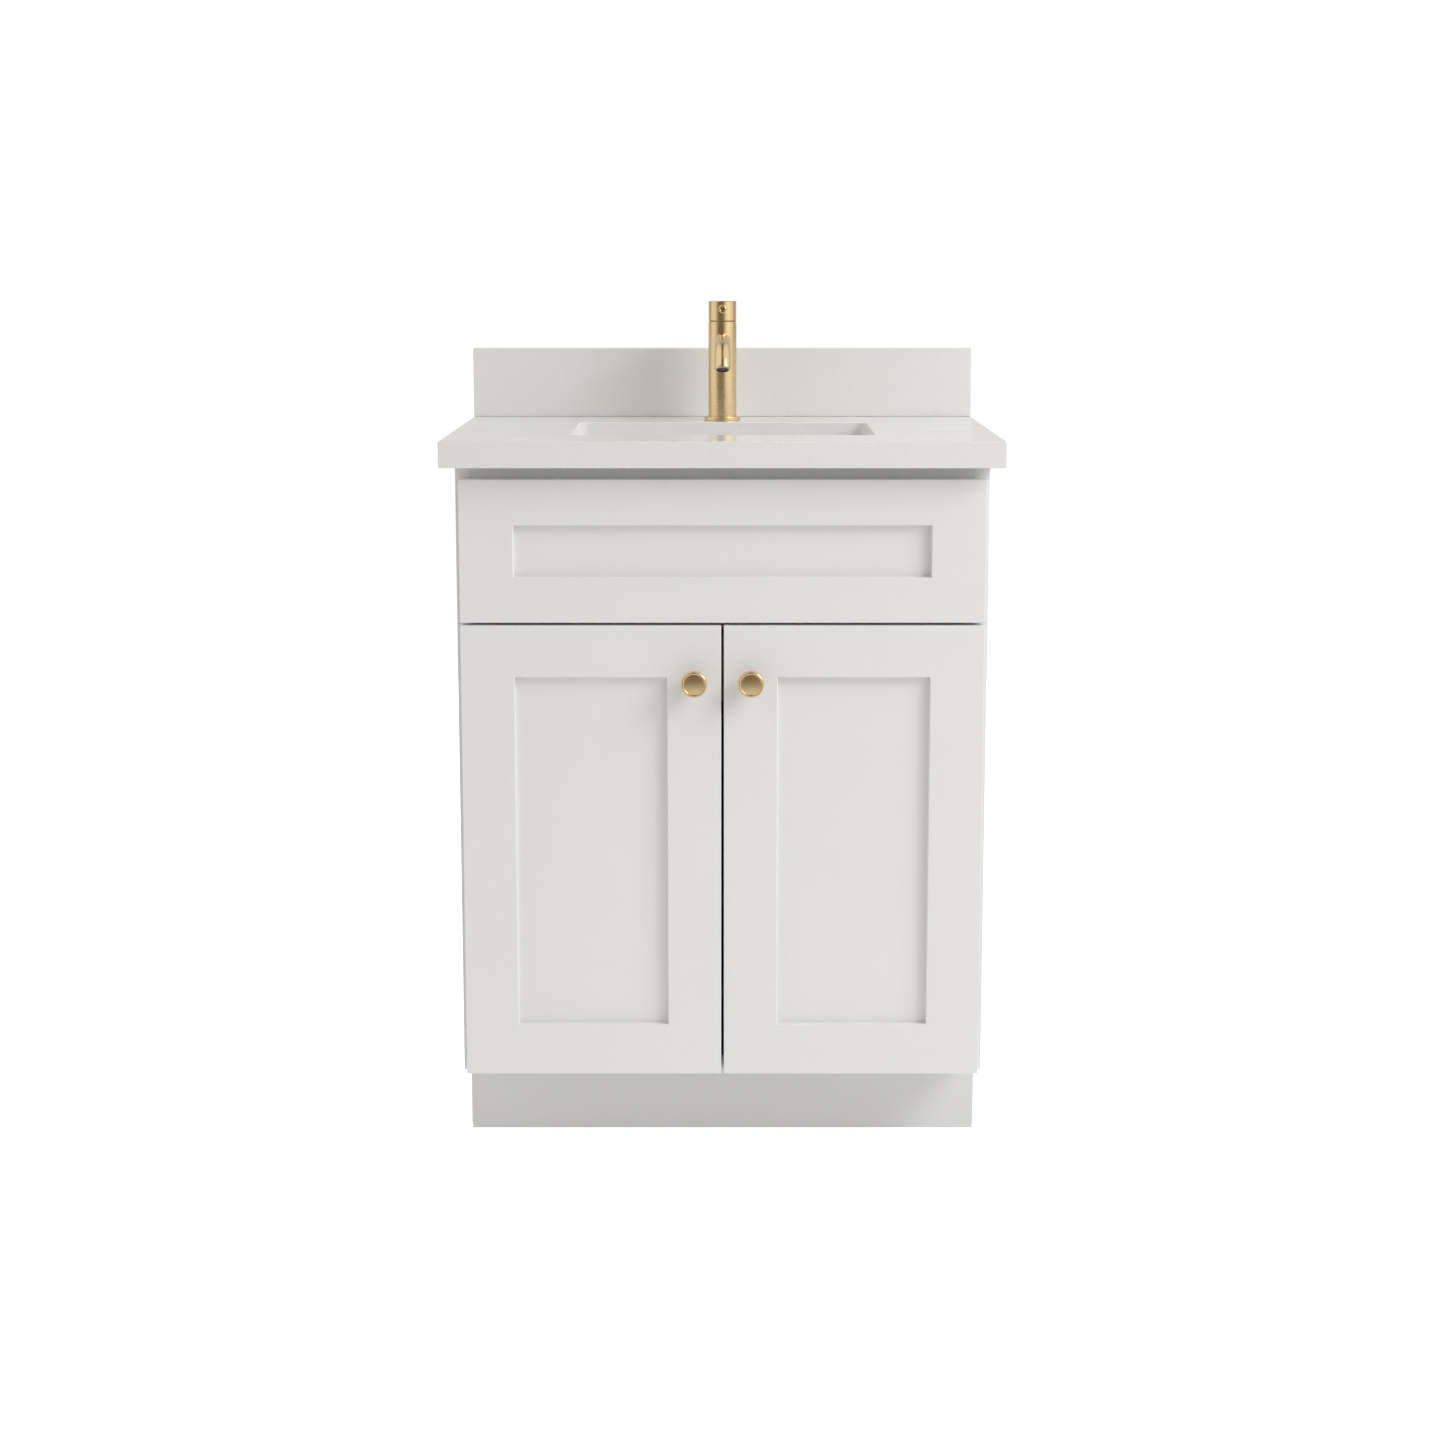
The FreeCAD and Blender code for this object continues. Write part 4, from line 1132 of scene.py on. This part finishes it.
class VANITY_OT_faucet(VanityStep, bpy.types.Operator):
    """Single-lever faucet: base, bent spout, aerator, lever, threaded shank and its nut"""

    bl_idname = "vanity.faucet"
    bl_label = "Faucet"

    def execute(self, context):
        steps = self.sizes(context).round_steps
        low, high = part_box("faucet_base")
        foot = Vector((0, (low.y + high.y) / 2, low.z))
        tall = (high.z - low.z) / MM
        outline = [(13.5, 0), (22.0, 0), (22.5, 0.35), (22.5, tall - 1.2)]
        outline += arc(21.3, tall - 1.2, 1.2, 0, 90, 5)
        outline += [(18.3, tall), (17.9, tall - 0.3), (13.5, tall - 0.3), (13.5, 0)]
        base = turned("faucet_foot_ring", outline, foot, AXIS_Z, steps)
        placed(smoothed(base), context, "faucet_base")
        self.lever(context)
        self.spout(context, foot)
        self.below_top(context, foot, steps)
        return {"FINISHED"}

    def lever(self, context):
        low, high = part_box("faucet_lever")
        middle = (low + high) / 2
        foot = Vector((middle.x, high.y, middle.z))
        long = (high.y - low.y) / MM
        outline = [(0, 0), (5, 0), (5, long - 1.5)]
        outline += arc(3.5, long - 1.5, 1.5, 15, 90, 5)
        outline += [(3.1, long - 0.1), (2.8, long - 0.5), (2.6, long - 0.9), (0, long - 0.9)]
        lever = turned("faucet_lever_pin", outline, foot, -AXIS_Y, 64)
        placed(smoothed(lever), context, "faucet_lever", finish="brushed_gold_lever")

    def spout(self, context, foot):
        radius, bore, bend, turn, end = 10 * MM, 7.6 * MM, 45 * MM, math.radians(65), 6.6 * MM
        rounding, seat = 2.2 * MM, 5.5 * MM
        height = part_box("faucet_spout")[1].z - radius
        start = Vector((0, foot.y - 15.5 * MM, height))
        bend_start = Vector((0, foot.y - 61.4 * MM, height))
        bend_middle = bend_start - AXIS_Z * bend
        heading = Vector((0, -math.cos(turn), -math.sin(turn)))
        deselect()
        bpy.ops.mesh.primitive_circle_add(
            vertices=64, radius=radius, fill_type="NGON", location=start, rotation=(math.pi / 2, 0, 0)
        )
        tube = settled("faucet_bent_spout")
        edit(tube, "FACE")
        bpy.ops.mesh.select_all(action="SELECT")
        bpy.ops.mesh.extrude_region_move(TRANSFORM_OT_translate={"value": bend_start - start})
        bpy.ops.mesh.spin(steps=26, angle=-turn, center=bend_middle, axis=AXIS_X)
        bpy.ops.mesh.extrude_region_move(TRANSFORM_OT_translate={"value": heading * (end - rounding)})
        size = radius
        parts = 6
        for part in range(1, parts + 1):
            angle = math.radians(90 * part / parts)
            before = math.radians(90 * (part - 1) / parts)
            step = rounding * (math.sin(angle) - math.sin(before))
            bpy.ops.mesh.extrude_region_move(TRANSFORM_OT_translate={"value": heading * step})
            new = radius - rounding * (1 - math.cos(angle))
            self.shrink(tube, new / size)
            size = new
        for size_now, step in ((bore, 0.0), (bore, -seat)):
            bpy.ops.mesh.extrude_region_move(TRANSFORM_OT_translate={"value": heading * step})
            self.shrink(tube, size_now / size)
            size = size_now
        bpy.ops.mesh.select_all(action="SELECT")
        bpy.ops.mesh.remove_doubles(threshold=1e-6)
        bpy.ops.object.mode_set(mode="OBJECT")
        self.drop_inner_faces(tube)
        placed(smoothed(tube), context, "faucet_spout", finish="brushed_gold_spout")
        bend_end = bend_middle + Vector((0, -math.sin(turn), math.cos(turn))) * bend
        outlet = bend_end + heading * end
        outline = [(0, 5.2), (5.2, 5.2), (5.4, 5.0), (5.4, 5.9), (6.0, 6.0), (6.4, 5.6), (6.9, 5.6)]
        outline += [(7.2, 5.9), (7.55, 5.8), (7.55, 0.1), (0, 0.1)]
        ring = [(0, 4.7), (4.9, 4.7), (5.1, 4.95), (5.3, 4.7), (5.3, 4.2), (0, 4.2)]
        seat_foot = outlet - heading * 6.6 * MM
        insert = turned("insert", [(r, a) for r, a in outline], seat_foot, heading, 64)
        mesh_disc = turned("screen", ring, seat_foot + heading * 0.8 * MM, heading, 64)
        placed(
            smoothed(joined("faucet_aerator_insert", [insert, mesh_disc])), context, "faucet_aerator"
        )

    def shrink(self, tube, share):
        """Scales the selected end ring about its own middle."""
        shape = bmesh.from_edit_mesh(tube.data)
        points = [corner.co for corner in shape.verts if corner.select]
        middle = sum(points, Vector()) / len(points)
        bpy.ops.transform.resize(value=(share, share, share), center_override=middle)

    def drop_inner_faces(self, tube):
        """Removes the discs that extruding leaves inside the tube."""
        edit(tube, "FACE")
        discs = [face for face in bmesh.from_edit_mesh(tube.data).faces if len(face.verts) > 4]
        inner = {face.index for face in discs if all(len(edge.link_faces) > 2 for edge in face.edges)}
        choose(tube, "faces", lambda face: face.index in inner)
        bpy.ops.mesh.delete(type="ONLY_FACE")
        bpy.ops.mesh.select_all(action="SELECT")
        bpy.ops.mesh.normals_make_consistent(inside=False)
        bpy.ops.object.mode_set(mode="OBJECT")

    def below_top(self, context, foot, steps):
        pitch = self.sizes(context).thread_pitch / MM
        low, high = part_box("faucet_nut")
        base, top = (low.z - foot.z) / MM, (high.z - foot.z) / MM
        seat = top - 3
        nut = hexagonal("nut", 36, 13.5, base, seat, foot, steps)
        outline = [(13.5, seat), (18.6, seat), (19, seat + 0.4), (19, top - 0.4), (18.6, top)]
        outline += [(13.5, top), (13.5, seat)]
        washer = turned("washer", outline, foot, AXIS_Z, steps)
        placed(smoothed(joined("faucet_clamp_nut", [nut, washer])), context, "faucet_nut")
        low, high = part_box("faucet_shank")
        base, top = (low.z - foot.z) / MM, (high.z - foot.z) / MM
        outline = [(0, base), (12.9, base), (13.5, base + 0.6)]
        outline += threaded(13.5, base + 0.9, -2, pitch)
        outline += [(13.5, top), (0, top)]
        shank = turned("faucet_threaded_shank", outline, foot, AXIS_Z, steps)
        for x in (-6.3, 6.3):
            inlet = [(0, base - 1), (4.5, base - 1), (4.5, base + 12), (3.5, base + 12)]
            inlet += [(3.5, top + 1), (0, top + 1)]
            cut(shank, turned("inlet", inlet, foot + AXIS_X * x * MM, AXIS_Z, 32))
        placed(smoothed(shank), context, "faucet_shank")


class VANITY_OT_cad_finishes(VanityStep, bpy.types.Operator):
    """Finishes of the CAD pieces that keep their own shape"""

    bl_idname = "vanity.cad_finishes"
    bl_label = "Kept Piece Finishes"

    def execute(self, context):
        names = finishes(context)
        for node, piece in frame["nodes"].items():
            if piece.hide_render:
                continue
            for slot in piece.material_slots:
                slot.material = bpy.data.materials[names[SLOT_OF[node]]]
        return {"FINISHED"}


class VANITY_OT_stage(VanityStep, bpy.types.Operator):
    """Pale floor, soft studio light and the camera"""

    bl_idname = "vanity.stage"
    bl_label = "Studio"

    def execute(self, context):
        colours = context.scene.vanity_colours
        context.scene.view_settings.view_transform = "Standard"
        self.floor(colours)
        self.world(context, colours)
        self.lights(context)
        self.camera(context)
        return {"FINISHED"}

    def floor(self, colours):
        deselect()
        bpy.ops.mesh.primitive_grid_add(x_subdivisions=4, y_subdivisions=4, size=1, location=(0, 0.2, 0))
        bpy.context.active_object.scale = (8, 6.4, 1)
        floor = settled("studio_floor")
        # White acrylic over a light box: matt. Its glow is full for the camera and dimmer for other rays.
        material, tree, place = new_material("lit_white_acrylic")
        grain = add_node(tree, "ShaderNodeTexNoise", {"Scale": 4.0, "Detail": 2.0}, {"Vector": place})
        tone = add_node(
            tree, "ShaderNodeMapRange", {"To Min": 0.5, "To Max": 0.54}, {"Value": grain.outputs[0]}
        )
        path = add_node(tree, "ShaderNodeLightPath")
        glow = add_node(
            tree,
            "ShaderNodeMapRange",
            {"To Min": 0.43, "To Max": 1.0},
            {"Value": path.outputs["Is Camera Ray"]},
        )
        shaded(
            material,
            {"Emission Color": colours.backdrop, "Specular IOR Level": 0.0, "Roughness": 0.8},
            {"Base Color": tone.outputs[0], "Emission Strength": glow.outputs[0]},
        )
        floor.data.materials.append(material)

    def world(self, context, colours):
        """A white backdrop for the camera, and for other rays a dim warm room with bright areas."""
        world = bpy.data.worlds.new("white_studio")
        context.scene.world = world
        world.use_nodes = True
        tree = world.node_tree
        tree.nodes.clear()
        direction = add_node(tree, "ShaderNodeTexCoord").outputs["Generated"]
        # Each bright area: its direction, the cosines where it starts and is full, and its strength.
        areas = (
            ((0.8, -0.565, 0.2), 0.7, 0.92, 1.35),
            ((-0.965, -0.17, 0.2), 0.74, 0.93, 1.0),
            ((0.0, 0.985, 0.17), 0.2, 0.7, 0.6),
            ((0.8, -0.15, 0.58), 0.62, 0.88, 1.35),
            ((-0.8, -0.15, 0.58), 0.62, 0.88, 1.25),
        )
        level = None
        for middle, start, full, strength in areas:
            facing = add_node(
                tree, "ShaderNodeVectorMath", {"operation": "DOT_PRODUCT", 1: middle}, {0: direction}
            )
            share = add_node(
                tree,
                "ShaderNodeMapRange",
                {"interpolation_type": "SMOOTHSTEP", "From Min": start, "From Max": full, "To Max": strength},
                {"Value": facing.outputs[1]},
            )
            if level:
                level = add_node(
                    tree, "ShaderNodeMath", {"operation": "MAXIMUM"}, {0: level, 1: share.outputs[0]}
                ).outputs[0]
            else:
                level = share.outputs[0]
        tint = add_node(
            tree,
            "ShaderNodeMix",
            {"data_type": "RGBA", 6: (0.15, 0.12, 0.09, 1.0), 7: colours.backdrop},
            {0: level},
        )
        room = add_node(tree, "ShaderNodeBackground", links={"Color": tint.outputs[2]})
        seen = add_node(tree, "ShaderNodeBackground", {"Color": colours.backdrop, "Strength": 1.05})
        path = add_node(tree, "ShaderNodeLightPath")
        both = add_node(
            tree,
            "ShaderNodeMixShader",
            links={0: path.outputs["Is Camera Ray"], 1: room.outputs[0], 2: seen.outputs[0]},
        )
        add_node(tree, "ShaderNodeOutputWorld", links={"Surface": both.outputs[0]})

    def lights(self, context):
        target = Vector((0, 0, 0.75))
        place = target + Vector((1.5, -1.0, 1.0)).normalized() * 3.0
        light = bpy.data.lights.new("key_panel", "AREA")
        light.shape = "RECTANGLE"
        light.size, light.size_y, light.energy = 1.3, 1.3, 36.0
        lamp = bpy.data.objects.new("key_panel", light)
        lamp.location = place
        lamp.rotation_euler = (target - place).to_track_quat("-Z", "Y").to_euler()
        context.scene.collection.objects.link(lamp)

    def camera(self, context):
        lens = bpy.data.cameras.new("front_camera")
        lens.lens, lens.sensor_width = 68.7, 36.0
        camera = bpy.data.objects.new("front_camera", lens)
        camera.location = (0, -3.3352, 1.0545)
        camera.rotation_euler = (math.radians(90 - 9.784), 0, 0)
        context.scene.collection.objects.link(camera)
        bpy.context.scene.camera = camera


STEPS = (
    VANITY_OT_carcass,
    VANITY_OT_false_front,
    VANITY_OT_doors,
    VANITY_OT_knobs,
    VANITY_OT_hinges,
    VANITY_OT_screws,
    VANITY_OT_stone,
    VANITY_OT_basin,
    VANITY_OT_drain,
    VANITY_OT_faucet,
    VANITY_OT_cad_finishes,
    VANITY_OT_stage,
)


class VANITY_PT_panel(bpy.types.Panel):
    """Sizes, colours and building steps of the vanity"""

    bl_idname = "VANITY_PT_panel"
    bl_label = "Vanity Cabinet"
    bl_space_type = "VIEW_3D"
    bl_region_type = "UI"
    bl_category = "Vanity"

    def draw(self, context):
        layout = self.layout
        for group in (context.scene.vanity_sizes, context.scene.vanity_colours):
            box = layout.box()
            for name in group.bl_rna.properties.keys():
                if name not in ("rna_type", "name"):
                    box.prop(group, name)
        for step in STEPS:
            layout.operator(step.bl_idname)


CLASSES = (VanitySizes, VanityColours, *STEPS, VANITY_PT_panel)


def register():
    for made in CLASSES:
        bpy.utils.register_class(made)
    bpy.types.Scene.vanity_sizes = bpy.props.PointerProperty(type=VanitySizes)
    bpy.types.Scene.vanity_colours = bpy.props.PointerProperty(type=VanityColours)


def unregister():
    del bpy.types.Scene.vanity_colours
    del bpy.types.Scene.vanity_sizes
    for made in reversed(CLASSES):
        bpy.utils.unregister_class(made)


def main():
    register()
    for step in STEPS:
        group, name = step.bl_idname.split(".")
        getattr(getattr(bpy.ops, group), name)()
    deselect()


if __name__ == "__main__":
    main()
